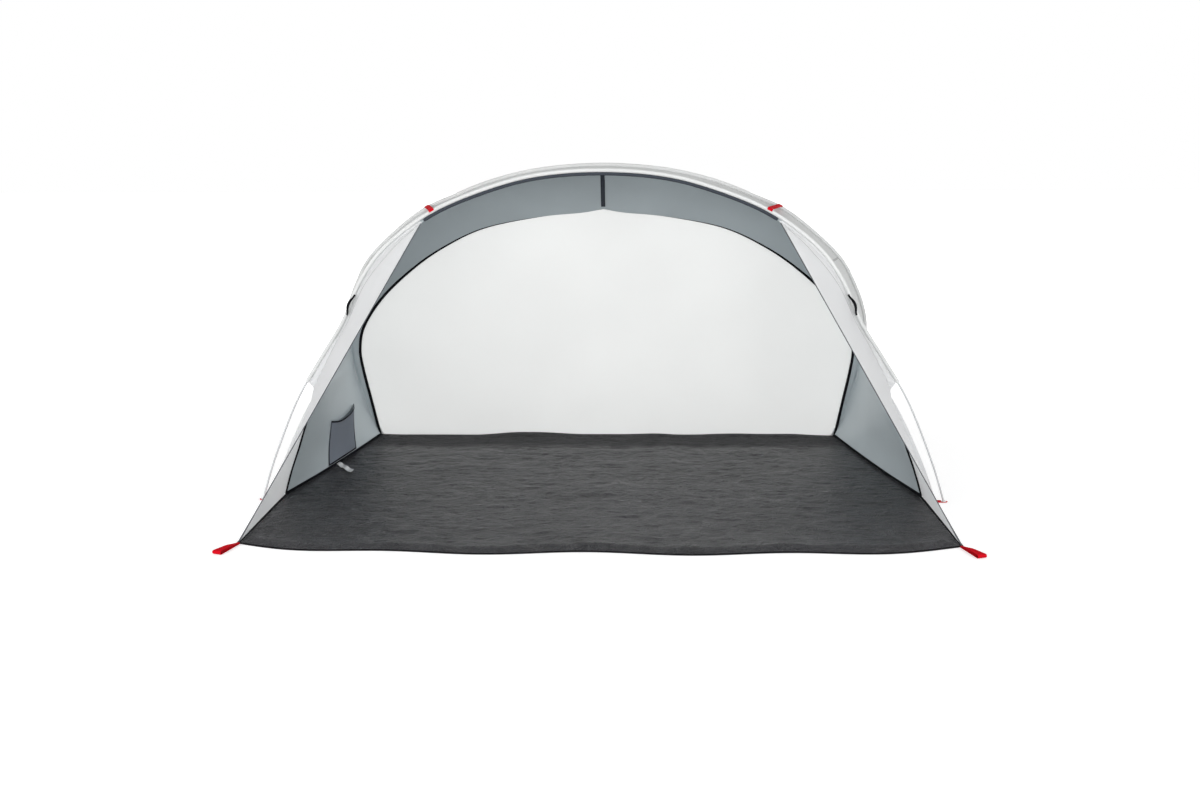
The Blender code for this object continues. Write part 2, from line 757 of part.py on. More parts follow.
def add_wing_piping(name, side):
    corner, top = wing_ends()
    way = (top - corner) / np.linalg.norm(top - corner)
    path = np.stack([corner + way * WING_PIPING_DIAMETER, top - way * STRAP_WIDTH]) * (side, 1, 1)
    return rod(name, path, FRONT_NORMAL, WING_PIPING_DIAMETER / 2, grey_piping())


def add_ridge_tape():
    """The tape under the ridge, from the front hem to the back seam's point."""
    row = canopy_point_rows(np.array([1.0]))[0]
    row[:, 0] = 0.0
    ways = tangents(row)
    down = np.stack([np.zeros(len(row)), ways[:, 2], -ways[:, 1]], -1)
    middle = row + down * (FABRIC / 2 + GAP + TAPE_THICKNESS)
    middle = middle[:-1]
    half = np.array([RIDGE_TAPE_WIDTH / 2, 0, 0])
    grid = np.stack([middle - half, middle + half], 1)
    return sheet("ridge_tape", grid, black_tape(), TAPE_THICKNESS)


def strip(name, path, ways, width, finish, thickness=WEBBING):
    """Flat webbing along a path. The ways point across it."""
    widths = np.broadcast_to(width, len(path))[:, None]
    grid = np.stack([path - ways * widths / 2, path + ways * widths / 2], 1)
    return sheet(name, grid, finish, thickness)


def strap_wrap(ring, out, normal, turns):
    """Points round a sleeve, at these turns from its outward side towards the back."""
    reach = SLEEVE_RADIUS + 2 * GAP + WEBBING / 2
    return [ring + reach * (np.cos(a) * out + np.sin(a) * normal) for a in np.radians(turns)]


def add_strap(name, side):
    """The red strap over the canopy, taut from round the front sleeve to the top of the rear one."""
    ends = []
    for half, normal, width in (
        (front_half(), FRONT_NORMAL, STRAP_FRONT_WIDTH),
        (rear_half(), REAR_NORMAL, STRAP_REAR_WIDTH),
    ):
        rings, ways = pole_rings(half, normal)
        place = at_x(rings, width / 2)
        out = at_x(np.column_stack([rings[:, 0], ways]), width / 2)[1:]
        ends.append((place, out / np.linalg.norm(out)))
    (front, front_out), (rear, rear_out) = ends
    reach = rear - front
    leaving = np.degrees(np.arctan2(-reach @ front_out, reach @ FRONT_NORMAL))
    landing = np.degrees(np.arctan2(-reach @ rear_out, reach @ REAR_NORMAL))
    first = strap_wrap(front, front_out, FRONT_NORMAL, np.linspace(-90, leaving, STRAP_WRAP_POINTS))
    last = strap_wrap(rear, rear_out, REAR_NORMAL, (landing, landing + STRAP_LANDING_TURN))
    path = np.array(first + last)
    front_way = np.cross(front_out, FRONT_NORMAL)
    rear_way = np.cross(rear_out, REAR_NORMAL)
    across = np.vstack([np.tile(front_way, (len(first), 1)), np.tile(rear_way, (len(last), 1))])
    across /= np.linalg.norm(across, axis=1)[:, None]
    return strip(name, path * (side, 1, 1), across * (side, 1, 1), STRAP_WIDTH, red_webbing())


def at_x(path, x):
    """The point of a path where it crosses this x, on a path whose x falls."""
    falling = path[int(np.argmax(path[:, 0])):]
    return np.array([np.interp(-x, -falling[:, 0], column) for column in falling.T])


def loop_profile():
    """A peg loop seen from its side: (run, height) round a flat teardrop, from its root and back."""
    turn = np.linspace(-np.pi / 2, np.pi / 2, PEG_LOOP_NOSE_POINTS)
    bend = PEG_LOOP_HEIGHT / 2
    centre = PEG_LOOP_LENGTH - bend
    nose = [(centre + bend * np.cos(a), bend + bend * np.sin(a)) for a in turn]
    root = WEBBING + GAP
    back = (PEG_LOOP_LENGTH / 2, PEG_LOOP_HEIGHT - WEBBING / 2)
    return np.array([(0.0, 0.0)] + nose + [back, (0.0, root + WEBBING)])


def floor_corner(side, front):
    """A corner of the groundsheet, with the ways along its front or rear edge and straight out."""
    outline = floor_outline(0.0)
    steps = FRONT_EDGE_STEPS
    places = {(-1, True): (0, 1), (1, True): (steps, steps - 1)}
    places |= {(-1, False): (steps + 3, steps + 2), (1, False): (steps + 2, steps + 3)}
    corner, neighbour = outline[list(places[side, front])]
    inwards = (neighbour - corner) / np.linalg.norm(neighbour - corner)
    out = np.array([-inwards[1], inwards[0]])
    return corner, inwards, out * np.sign(out[1] * corner[1])


def add_peg_loop(name, side, front):
    """A webbing loop on a corner of the groundsheet. A peg goes through it, and it lifts."""
    corner, inwards, out = floor_corner(side, front)
    spread = PEG_LOOP_SPREAD / PEG_LOOP_LENGTH
    way = np.array([side * spread, np.sign(corner[1]) * np.sqrt(1 - spread**2)])
    across = np.array([-way[1], way[0]])
    lead = abs(across @ out) * PEG_LOOP_ROOT_WIDTH / 2 + GAP
    root = corner + inwards * PEG_LOOP_ROOT_WIDTH + out * lead
    profile = loop_profile()
    profile[:, 1] += WEBBING / 2 + GAP
    shares = profile[:, 0] / PEG_LOOP_LENGTH
    widths = PEG_LOOP_ROOT_WIDTH + (PEG_LOOP_END_WIDTH - PEG_LOOP_ROOT_WIDTH) * shares
    rows = []
    for (run, height), width in zip(profile, widths):
        ends = [root + way * run + across * sign * width / 2 for sign in (-1, 1)]
        rows.append([(*end, height) for end in ends])
    return sheet(name, rows, red_webbing(), WEBBING)


def turned_ring(name, profile, place, finish):
    """A ring turned about a vertical axis from an (r, z) outline."""
    angles = np.linspace(0, 2 * np.pi, EYELET_SIDES, endpoint=False)
    points = [
        (place[0] + r * np.cos(a), place[1] + r * np.sin(a), place[2] + z)
        for a in angles
        for r, z in profile
    ]
    return add_mesh(name, points, ring_faces(EYELET_SIDES, len(profile)), finish)


def add_foot(name, half, root_x, side):
    """The red tab at a pole's foot, with the eyelet that the pole stands in."""
    centre = at_height(extended(half, POLE_DIAMETER), WEBBING)[:2]
    low = GAP
    high = GAP + WEBBING
    hole = EYELET_BORE / 2 + EYELET_BARREL + GAP
    half_width = FOOT_TAB_WIDTH / 2
    turn = np.linspace(-np.pi / 2, np.pi / 2, FOOT_TAB_STEPS)
    hole /= np.cos(np.pi / (FOOT_TAB_STEPS + 2))
    nose = [(centre[0] + half_width * np.cos(a), centre[1] + half_width * np.sin(a)) for a in turn]
    outer = nose + [(root_x, centre[1] + half_width), (root_x, centre[1] - half_width)]
    start = np.arctan2(-half_width, 0.0)
    angles = start + np.linspace(0, 2 * np.pi, len(outer), endpoint=False)
    inner = [(centre[0] + hole * np.cos(a), centre[1] + hole * np.sin(a)) for a in angles]
    rings = []
    for ring, z in ((outer, low), (outer, high), (inner, high), (inner, low)):
        rings += [(x * side, y, z) for x, y in ring]
    add_mesh(f"{name}_tab", rings, ring_faces(4, len(outer)), red_webbing())
    bore = EYELET_BORE / 2
    flange = bore + EYELET_FLANGE
    barrel = bore + EYELET_BARREL
    under = high + GAP
    profile = (
        (bore, low), (barrel, low), (barrel, under), (flange, under),
        (flange, under + EYELET_RIM), (bore, under + EYELET_RIM),
    )
    turned_ring(f"{name}_eyelet", profile, (centre[0] * side, centre[1], 0.0), steel())


def add_guy_loop(name, side):
    """Black webbing sewn flat to the front of the front sleeve at both ends, bowed forwards between."""
    half = front_half()
    start = float(np.interp(GUY_LOOP_HEIGHT, half[:, 2], along(half)))
    runs = start + np.linspace(-GUY_LOOP_LENGTH / 2, GUY_LOOP_LENGTH / 2, len(GUY_LOOP_LIFT_SHARES))
    path = at_distance(half, runs)
    base = SLEEVE_RADIUS * np.cos(np.pi / TUBE_SIDES) + GAP + WEBBING / 2
    forwards = base + GUY_LOOP_RISE * np.array(GUY_LOOP_LIFT_SHARES)
    path = path - FRONT_NORMAL * forwards[:, None]
    across = outward_at(half, runs)
    return strip(name, path * (side, 1, 1), across * (side, 1, 1), GUY_LOOP_WIDTH, black_tape())


def outward_at(half, runs):
    ways = outward(half, FRONT_NORMAL)
    run = along(half)
    found = np.stack([np.interp(runs, run, ways[:, axis]) for axis in range(3)], -1)
    return found / np.linalg.norm(found, axis=1)[:, None]


def wall_points(setbacks, heights):
    """Points of the right wall's middle surface, and its inward normals. Each setback has its column of heights."""
    rows = canopy_point_rows(side_levels())[:, : FRONT_COLUMNS + 1]
    columns = [
        np.stack([np.interp(setback, row[:, 1] - FRONT_EDGE, row[:, axis]) for row in rows])
        for axis in range(3)
        for setback in setbacks
    ]
    columns = np.array(columns).reshape(3, len(setbacks), len(rows))
    points = np.empty((*heights.shape, 3))
    for index in range(len(setbacks)):
        for axis in range(3):
            rising, wanted = columns[2, index], columns[axis, index]
            points[:, index, axis] = np.interp(heights[:, index], rising, wanted)
    normals = np.cross(np.gradient(points, axis=0), np.gradient(points, axis=1))
    normals /= np.linalg.norm(normals, axis=2)[:, :, None]
    normals *= np.where(normals[:, :, :1] > 0, -1, 1)
    return points, normals


def add_pocket():
    """A flat pocket on the left wall, open at its top, with a dark trim round its edges."""
    start = WALL_FOOT_SETBACK + POCKET_FRONT_SETBACK
    stop = start + POCKET_WIDTH
    rim = POCKET_TRIM_WIDTH
    low = POCKET_BASE_HEIGHT
    high = low + POCKET_HEIGHT
    setbacks = np.concatenate([[start], np.linspace(start + rim, stop - rim, POCKET_COLUMNS), [stop]])
    across = ((setbacks - start) / POCKET_WIDTH * 2 - 1)[None, :]
    mouth = high - POCKET_MOUTH_SAG * (1 - across**2)
    shares = np.linspace(0, 1, POCKET_ROWS)[:, None]
    inner = low + rim + (mouth - low - 2 * rim) * shares
    heights = np.vstack([np.full_like(mouth, low), inner, mouth])
    points, normals = wall_points(setbacks, heights)
    up = (heights - low) / POCKET_HEIGHT
    stand = FABRIC + 2 * GAP + POCKET_DEPTH * up * (1 - across**4)
    grid = points + normals * stand[:, :, None]
    sheet("pocket", grid * (-1, 1, 1), pocket_cloth())
    over = stand + FABRIC / 2 + TAPE_THICKNESS + GAP
    rows, columns = stand.shape
    frame = [
        face
        for index, face in enumerate(grid_faces(rows, columns))
        if index // (columns - 1) in (0, rows - 2) or index % (columns - 1) in (0, columns - 2)
    ]
    used = sorted({corner for face in frame for corner in face})
    renamed = {corner: index for index, corner in enumerate(used)}
    places = ((points + normals * over[:, :, None]) * (-1, 1, 1)).reshape(-1, 3)[used]
    faces = [tuple(renamed[corner] for corner in face) for face in frame]
    solidify(add_mesh("pocket_trim", places, faces, black_tape()), TAPE_THICKNESS, 0.0)


def add_label():
    """The blank care label, sewn along the left floor seam and lying askew on the groundsheet."""
    root_y = FRONT_EDGE + LABEL_ROOT_SETBACK
    root_x = FLOOR_WIDTH / 2 - FLOOR_TAPER * (root_y - WALL_FOOT_Y) - LABEL_ROOT_MARGIN
    reach_y = np.sqrt(LABEL_LENGTH**2 - LABEL_REACH**2)
    root = np.array([-root_x, root_y])
    tip = root + (LABEL_REACH, -reach_y)
    z = FLOOR_THICKNESS + GAP + LABEL_THICKNESS / 2
    path = np.array([(*root, z), (*tip, z)])
    seam_way = np.array([FLOOR_TAPER, 1.0, 0.0]) / np.hypot(FLOOR_TAPER, 1.0)
    across = np.tile(seam_way, (2, 1))
    return strip("care_label", path, across, LABEL_WIDTH, label_cloth(), LABEL_THICKNESS)


def main():
    clear_scene()
    add_floor()
    add_floor_binding()
    add_pole("front", front_half(), FRONT_NORMAL)
    add_pole("rear", rear_half(), REAR_NORMAL)
    add_sleeve("front_sleeve", front_half(), FRONT_NORMAL, FRONT_SLEEVE_END_HEIGHT)
    add_sleeve("rear_sleeve", rear_half(), REAR_NORMAL, REAR_SLEEVE_END_HEIGHT)
    add_roof_panel()
    add_back_wall()
    add_back_binding()
    add_front_hem()
    add_ridge_tape()
    for word, side in (("left", -1), ("right", 1)):
        add_side_panel(f"side_panel_{word}", side)
        add_wing(f"wing_{word}", side)
        add_seam_piping(f"wall_seam_piping_{word}", side)
        add_wing_piping(f"wing_piping_{word}", side)
        add_strap(f"roof_strap_{word}", side)
        add_guy_loop(f"guy_loop_{word}", side)
        add_peg_loop(f"front_peg_loop_{word}", side, front=True)
        add_peg_loop(f"rear_peg_loop_{word}", side, front=False)
        add_foot(f"front_foot_{word}", front_half(), FLOOR_WIDTH / 2 + GAP, side)
        add_foot(f"rear_foot_{word}", rear_half(), REAR_TAB_ROOT, side)
    add_pocket()
    add_label()


main()
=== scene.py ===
"""Beach tent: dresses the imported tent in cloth, webbing and tubing, and sets a plain studio round it."""

import bpy
import numpy as np
from mathutils import Matrix


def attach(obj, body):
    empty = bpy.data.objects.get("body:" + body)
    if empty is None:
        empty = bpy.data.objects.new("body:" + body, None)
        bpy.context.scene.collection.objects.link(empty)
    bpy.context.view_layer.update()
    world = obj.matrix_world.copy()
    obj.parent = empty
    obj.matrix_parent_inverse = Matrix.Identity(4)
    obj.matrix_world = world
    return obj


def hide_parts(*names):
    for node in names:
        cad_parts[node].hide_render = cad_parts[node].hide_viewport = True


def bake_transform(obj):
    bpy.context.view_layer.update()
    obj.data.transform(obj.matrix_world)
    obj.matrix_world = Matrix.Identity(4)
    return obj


bl_info = {
    "name": "Beach Tent",
    "version": (1, 0, 0),
    "blender": (4, 5, 0),
    "location": "View3D > Sidebar > Beach Tent",
    "description": "Dresses a two-pole beach tent in cloth, webbing and tubing",
    "category": "Add Mesh",
}

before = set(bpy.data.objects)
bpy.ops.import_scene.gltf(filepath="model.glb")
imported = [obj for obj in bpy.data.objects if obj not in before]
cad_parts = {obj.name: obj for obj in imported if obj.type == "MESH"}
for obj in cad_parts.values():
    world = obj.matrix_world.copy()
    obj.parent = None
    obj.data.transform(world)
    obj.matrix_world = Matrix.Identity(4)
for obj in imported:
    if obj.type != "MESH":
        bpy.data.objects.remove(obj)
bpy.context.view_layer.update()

# Groundsheet
FLOOR_WIDTH = 2.20
FLOOR_REAR_WIDTH = 1.90
FLOOR_DEPTH = 1.40
FLOOR_BOW = 0.078
FLOOR_WAVE = 0.013
FLOOR_WAVE_LENGTH = 0.615
FLOOR_WAVE_START = 0.34
BOW_POWER = 6
WALL_FOOT_SETBACK = 0.515
BINDING_WIDTH = 0.010
BINDING_HEIGHT = 0.003
FABRIC = 0.0016
GAP = 0.0003
WALL_BASE = BINDING_HEIGHT / 2

# Poles, sleeves and hems
POLE_DIAMETER = 0.0070
POLE_WALL = 0.0015
POLE_SECTIONS = 6
POLE_SECTION_GAP = 0.0003
FERRULE_RADIUS = POLE_DIAMETER / 2 + GAP + 0.0005
SLEEVE_RADIUS = FERRULE_RADIUS + 0.00075 + FABRIC
FRONT_SLEEVE_END_HEIGHT = 0.412
REAR_SLEEVE_END_HEIGHT = 0.200
SLEEVE_RIPPLE = 0.035
HEM_DIAMETER = 0.009
SEAM_PIPING_DIAMETER = 0.003
WING_PIPING_DIAMETER = 0.0024

# Arches, as shares of half their width and of their rise
FRONT_POLE_SPAN = 2.320
FRONT_POLE_RISE = 1.105
FRONT_ARCH_SHARES = (
    (1.000, 0.000), (0.958, 0.129), (0.884, 0.309), (0.811, 0.434), (0.737, 0.555), (0.678, 0.685),
    (0.601, 0.786), (0.469, 0.884), (0.308, 0.952), (0.167, 0.988), (0.000, 1.000),
)
REAR_POLE_WIDTH = 2.026
REAR_POLE_RISE = 1.1184
REAR_POLE_LEAN = 0.600
REAR_ARCH_SHARES = (
    (0.958, 0.000), (0.982, 0.134), (0.999, 0.268), (0.999, 0.376), (0.981, 0.491), (0.922, 0.609),
    (0.841, 0.712), (0.661, 0.845), (0.511, 0.908), (0.373, 0.954), (0.206, 0.987), (0.000, 1.000),
)
BACK_SEAM_WIDTH = 1.954
BACK_SEAM_RISE = 0.959
BACK_SEAM_LEAN = 0.460
BACK_SEAM_SHARES = (
    (0.972, 0.000), (0.986, 0.170), (0.999, 0.330), (0.997, 0.420), (0.965, 0.520), (0.875, 0.643),
    (0.747, 0.759), (0.614, 0.850), (0.450, 0.927), (0.240, 0.970), (0.080, 0.986), (0.000, 1.000),
)

# Panels
CANOPY_INSET = 0.0135
SHOULDER_SEAM_SHARE = 0.483
ROW_CLIMB = 0.041
CANOPY_SAG = 0.008
REAR_SAG = 0.003
BACK_WALL_BULGE = 0.014
WING_TOP_WIDTH = 1.150
WING_BULGE = 0.012
FLANGE_INSETS = ((0.0, 0.020), (0.200, 0.030), (0.400, 0.043), (FRONT_SLEEVE_END_HEIGHT, SLEEVE_RADIUS + GAP))
SEAM_INSETS = (
    (0.0, 0.055), (0.200, 0.056), (0.390, 0.046), (FRONT_SLEEVE_END_HEIGHT, 0.030), (0.560, CANOPY_INSET),
)
RIDGE_TAPE_WIDTH = 0.015
SEAM_HOLD_SHARE = 0.3
SEAM_CORD_RADIUS = 0.0032
CORD_TOP_DROP = 0.03
WING_SEAM_RADIUS = 0.0011
CHANNEL_INSETS = ((0.42, 0.034), (0.66, 0.016), (0.83, 0.036), (0.93, 0.020))
FOOT_TAPE_HEIGHT = 0.010
THIN_TAPE = 0.001
FOOT_DRAW_HEIGHT = 0.150
FOOT_DRAW_START = 0.30
FRONT_COLUMNS = 30
REAR_COLUMNS = 14
SLEEVE_REACH_SHARE = 0.85
SLEEVE_REACH_DROP = 0.3
SLEEVE_REACH_HEIGHTS = (0.46, 0.60)
REAR_REACH_SHARE = 0.88
REAR_REACH_HEIGHTS = (REAR_SLEEVE_END_HEIGHT, REAR_SLEEVE_END_HEIGHT + 0.06)
REAR_REACH_COLUMNS = ((-2, 0.25), (-1, 0.6), (0, 1.0), (1, 0.6), (2, 0.25))
HEM_RADIUS = 0.0055
SHOULDER_TAPE_WIDTH = 0.008
SHOULDER_TAPE_THICKNESS = 0.0008
WING_EDGE_RADIUS = 0.0015
# Depth of the band of painted shade along the groundsheet's rear edge, and, two lines down, its fade
REAR_SHADE_BAND = 0.27
REAR_LIFT = 0.022
REAR_SHADE_FADE = 0.11
WRINKLE_LENGTH = 0.031
THREADS_PER_WAVE = 0.314
STITCH_PITCH = 1.45
THREAD_LIFT = 0.0004
BACK_TAPE_RADIUS = 0.0058
BACK_TAPE_LEAST = 0.0004
BACK_TAPE_FADE = (0.46, 0.88)

# Webbing
WEBBING = 0.0015
STRAP_WIDTH = 0.018
STRAP_FRONT_WIDTH = 1.092
STRAP_REAR_WIDTH = 1.264
PEG_LOOP_LENGTH = 0.104
PEG_LOOP_SPREAD = 0.034
PEG_LOOP_ROOT_WIDTH = 0.010
PEG_LOOP_END_WIDTH = 0.030
PEG_LOOP_HEIGHT = 0.0105
TACK_REACHES = (0.014, 0.018, 0.022)
TACK_RISE_REACH = 0.05
TACK_HALF_WIDTH = 0.0045
FOOT_TAB_WIDTH = 0.026
EYELET_BORE = 0.0114
EYELET_RIM_WIDTH = 0.0036
EYELET_SEAT = 0.0013
TAB_BEVEL = 0.0003
GUY_LOOP_LENGTH = 0.074
GUY_LOOP_HEIGHT = 0.672
GUY_LOOP_WIDTH = 0.0092
GUY_END_WIDTH = 0.0060
GUY_LOOP_BOW = 0.0075
GUY_LOOP_RISE = 0.0080
GUY_LIFT_SHARES = (0.0, 0.1, 0.6, 0.92, 1.0, 0.92, 0.6, 0.1, 0.0)

# Pocket and care label
POCKET_WIDTH = 0.265
POCKET_HEIGHT = 0.175
POCKET_FRONT_SETBACK = 0.330
POCKET_BASE_HEIGHT = 0.009
POCKET_DEPTH = 0.016
POCKET_MOUTH_SAG = 0.016
POCKET_EDGE_WIDTH = 0.0065
POCKET_FRONT_FLARE = 0.024
POCKET_REAR_FLARE = 0.010
POCKET_RAISED = 0.005
LABEL_LENGTH = 0.180
LABEL_WIDTH = 0.034
LABEL_ROOT_SETBACK = 0.950
LABEL_ROOT_MARGIN = 0.012
LABEL_REACH = 0.098
LABEL_LEVEL = 0.0023
LABEL_TUCK = 0.014
LABEL_SEWN_SHARE = 0.080
LABEL_WAVES = 2.5
LABEL_ROOT_RISE = 0.0020

# Places worked out from the sizes above
FRONT_EDGE = -FLOOR_DEPTH / 2
REAR_EDGE = FLOOR_DEPTH / 2
FRONT_POLE_Y = FRONT_EDGE + 0.465
WALL_FOOT_Y = FRONT_EDGE + WALL_FOOT_SETBACK
CREASE_INSET = SLEEVE_RADIUS + GAP + FABRIC / 2 + 0.0008
CANOPY_FRONT_Y = FRONT_POLE_Y + FABRIC + GAP + SEAM_PIPING_DIAMETER + GAP
FLOOR_TAPER = (FLOOR_WIDTH - FLOOR_REAR_WIDTH) / 2 / (REAR_EDGE - WALL_FOOT_Y)
PEG_LOOP_TOP = PEG_LOOP_HEIGHT - WEBBING / 2
PEG_LOOP_ROOT = 2 * WEBBING + GAP
HEART = np.array([0.0, 0.1, 0.2])
POCKET_HEART = np.array([-2.0, 0.3, 0.1])
BELOW = np.array([0.0, 0.0, -5.0])
UP = np.array([0.0, 0.0, 1.0])
CURVE_STEPS = 40
SHARP_ANGLE = 0.7
SIDES = (("left", -1), ("right", 1))

# Stage
FLOOR_REACH = 30.0
FLOOR_LEVEL = -0.0005
FLOOR_WHITE_REACH = (1.4, 3.4)
CAMERA_PLACE = (0.097, -4.071, 1.166)
CAMERA_TURN = (-1.482, 12.009, -0.21)
CAMERA_LENS_SHARE = 1172.1 / 1200


def colour(**values):
    return bpy.props.FloatVectorProperty(subtype="COLOR", size=3, min=0, max=1, **values)


def distance(**values):
    return bpy.props.FloatProperty(subtype="DISTANCE", unit="LENGTH", **values)


def power(**values):
    return bpy.props.FloatProperty(subtype="POWER", min=0.0, max=5000.0, **values)


class TentColours(bpy.types.PropertyGroup):
    """Colours of the tent's cloths, webbing and poles"""

    canopy: colour(name="Canopy", description="Outer face of the canopy", default=(0.76, 0.77, 0.765))
    back: colour(name="Back wall", description="Both faces of the back wall", default=(0.90, 0.905, 0.90))
    wing: colour(name="Wings", description="The two wings beside the opening", default=(0.86, 0.865, 0.87))
    lining: colour(
        name="Lining", description="Coated inner face of the canopy", default=(0.478, 0.535, 0.560),
    )
    floor: colour(name="Groundsheet", description="Coated floor cloth", default=(0.030, 0.030, 0.034))
    tape: colour(name="Tape", description="Black binding on the seams", default=(0.008, 0.008, 0.010))
    hem: colour(name="Hem", description="Dark grey edge under the front arch", default=(0.050, 0.057, 0.070))
    piping: colour(name="Piping", description="Grey edge of the wings", default=(0.11, 0.115, 0.125))
    pocket: colour(name="Pocket", description="Pocket on the left wall", default=(0.195, 0.217, 0.256))
    webbing: colour(
        name="Webbing", description="Straps, peg loops and foot tabs", default=(0.60, 0.005, 0.014),
    )
    pole: colour(name="Poles", description="Fibreglass tube", default=(0.60, 0.61, 0.62))
    label: colour(name="Label", description="Blank care label", default=(0.93, 0.93, 0.93))


class TentSizes(bpy.types.PropertyGroup):
    """Sizes of the cloth's folds and of the details sewn to it"""

    cloth: distance(
        name="Cloth", description="Thickness of the canopy cloth", min=0.0002, max=0.002, default=0.0009,
    )
    slack: distance(
        name="Slack", description="Height of the soft waves in the panels", min=0.0, max=0.01, default=0.0016,
    )
    crinkle: distance(
        name="Crinkle", description="Height of the groundsheet's fine crinkles",
        min=0.0, max=0.010, default=0.0056,
    )
    fold: distance(
        name="Fold", description="Height of the groundsheet's broad folds",
        min=0.0, max=0.015, default=0.0085,
    )
    stitch: distance(name="Stitch", description="Length of one stitch", min=0.001, max=0.01, default=0.0030)
    label_curl: distance(
        name="Label curl", description="How far the care label's end curls up",
        min=0.0, max=0.02, default=0.0030,
    )


class TentStage(bpy.types.PropertyGroup):
    """Light round the tent"""

    key_power: power(name="Key light", description="Power of the large lamp in front", default=200.0)
    back_power: power(name="Back light", description="Power of the lamp behind the tent", default=74.0)
    side_power: power(name="Side lights", description="Power of the lamp on each side", default=122.0)
    sky: bpy.props.FloatProperty(
        name="Sky", description="Strength of the even light from all round", min=0.0, max=2.0, default=0.46,
    )


# Lines and arches


def unit(ways):
    return ways / np.linalg.norm(ways, axis=-1, keepdims=True)


def between(places, marks, rows):
    """The rows interpolated at these places along their rising marks."""
    return np.stack([np.interp(places, marks, column) for column in rows.T], -1)


def along(path):
    """The distance from the start of a path to each of its points."""
    return np.concatenate([[0.0], np.cumsum(np.linalg.norm(np.diff(path, axis=0), axis=1))])


def at_distance(path, distances):
    return between(distances, along(path), path)


def at_share(path, shares):
    return at_distance(path, np.asarray(shares) * along(path)[-1])


def at_height(path, heights):
    """The points of a rising path at these heights."""
    return between(heights, path[:, 2], path)


def at_x(path, x):
    """The point of a path where it crosses this x, on a path whose x falls."""
    falling = path[int(np.argmax(path[:, 0])):]
    return between(-x, -falling[:, 0], falling)


def smooth(points, before, after):
    """A Catmull-Rom curve through the points. The two extra points steer its ends."""
    points = np.vstack([before, points, after])
    share = np.linspace(0, 1, CURVE_STEPS, endpoint=False)[:, None]
    spans = []
    for first, start, end, last in zip(points, points[1:], points[2:], points[3:]):
        linear = (end - first) * share
        square = (2 * first - 5 * start + 4 * end - last) * share**2
        cubic = (3 * start - 3 * end + last - first) * share**3
        spans.append(start + (linear + square + cubic) / 2)
    return np.vstack(spans + [points[-2:-1]])


def leaned_arch(width, rise, shares, foot_y, lean=0.0, pointed=False):
    """The right half of an arch, from its foot to its ridge, which lies further forwards by lean."""
    points = np.array(shares) * (width / 2, rise)
    beyond = 2 * points[-1] - points[-2] if pointed else points[-2] * (-1, 1)
    x, z = smooth(points, 2 * points[0] - points[1], beyond).T
    return np.stack([x, foot_y - lean * z / rise, z], -1)


def mirrored(half):
    """A whole arch or grid from its right half, from the right foot to the left foot."""
    return np.vstack([half, half[-2::-1] * (-1, 1, 1)])


def tangents(path):
    return unit(np.gradient(path, axis=0))


def across_arch(ways, normal):
    """The directions away from the arch's middle, in its plane, where it runs these ways."""
    ways = unit(np.cross(normal, ways))
    return ways * np.where(ways[:, :1] + ways[:, 2:] < 0, -1, 1)


def outward(path, normal):
    """The direction away from the arch's middle, in its plane, at each point of the right half."""
    return across_arch(tangents(path), normal)


def above_ground(path, base=WALL_BASE):
    """The path from where it crosses the height base, upwards."""
    first = int(np.argmax(path[:, 2] > base))
    share = (base - path[first - 1, 2]) / (path[first, 2] - path[first - 1, 2])
    return np.vstack([path[first - 1] + share * (path[first] - path[first - 1]), path[first:]])


def extended(path, length):
    """The path with a straight run added below its foot."""
    return np.vstack([path[0] - unit(path[1] - path[0]) * length, path])


FRONT_HALF = leaned_arch(FRONT_POLE_SPAN, FRONT_POLE_RISE, FRONT_ARCH_SHARES, FRONT_POLE_Y)
REAR_HALF = leaned_arch(REAR_POLE_WIDTH, REAR_POLE_RISE, REAR_ARCH_SHARES, REAR_EDGE, REAR_POLE_LEAN)
BACK_SEAM = above_ground(extended(
    leaned_arch(
        BACK_SEAM_WIDTH, BACK_SEAM_RISE, BACK_SEAM_SHARES, REAR_EDGE - BINDING_WIDTH / 2,
        BACK_SEAM_LEAN, pointed=True,
    ),
    BINDING_WIDTH,
))
FRONT_NORMAL = np.array([0.0, 1.0, 0.0])
REAR_NORMAL = unit(np.array([0.0, REAR_POLE_RISE, REAR_POLE_LEAN]))
BACK_NORMAL = unit(np.array([0.0, BACK_SEAM_RISE, BACK_SEAM_LEAN]))
POLES = (("front", FRONT_HALF, FRONT_NORMAL), ("rear", REAR_HALF, REAR_NORMAL))


def pole_line(half):
    """The right half of a pole's middle line, from just above the ground to the ridge."""
    return above_ground(extended(half, POLE_DIAMETER), POLE_DIAMETER / 4)


def beside(half, normal, inset):
    """A line that runs inside the right half of a pole, in its plane."""
    path = pole_line(half)
    return path - outward(path, normal) * inset


def nearest(half, normal, places):
    """The points of an arch that are nearest to these places, and the ways outward there."""
    found = [int(np.argmin(np.linalg.norm(half - place, axis=1))) for place in places]
    return half[found], outward(half, normal)[found]


def inset_front(insets_by_height, y_by_height):
    """The front arch moved inwards, by an amount and to a depth that change with height."""
    path = extended(FRONT_HALF, 2 * SEAM_INSETS[0][1])
    insets = np.interp(path[:, 2], *zip(*insets_by_height))
    moved = path - outward(path, FRONT_NORMAL) * insets[:, None]
    moved[:, 1] = np.interp(moved[:, 2], *zip(*y_by_height))
    return above_ground(moved)


def flange_line():
    """The rear edge of the right wing: the flange's edge low down, and the sleeve's side above."""
    ends = ((0.0, (WALL_FOOT_Y + FRONT_POLE_Y) / 2), (FRONT_SLEEVE_END_HEIGHT, FRONT_POLE_Y))
    return inset_front(FLANGE_INSETS, ends)


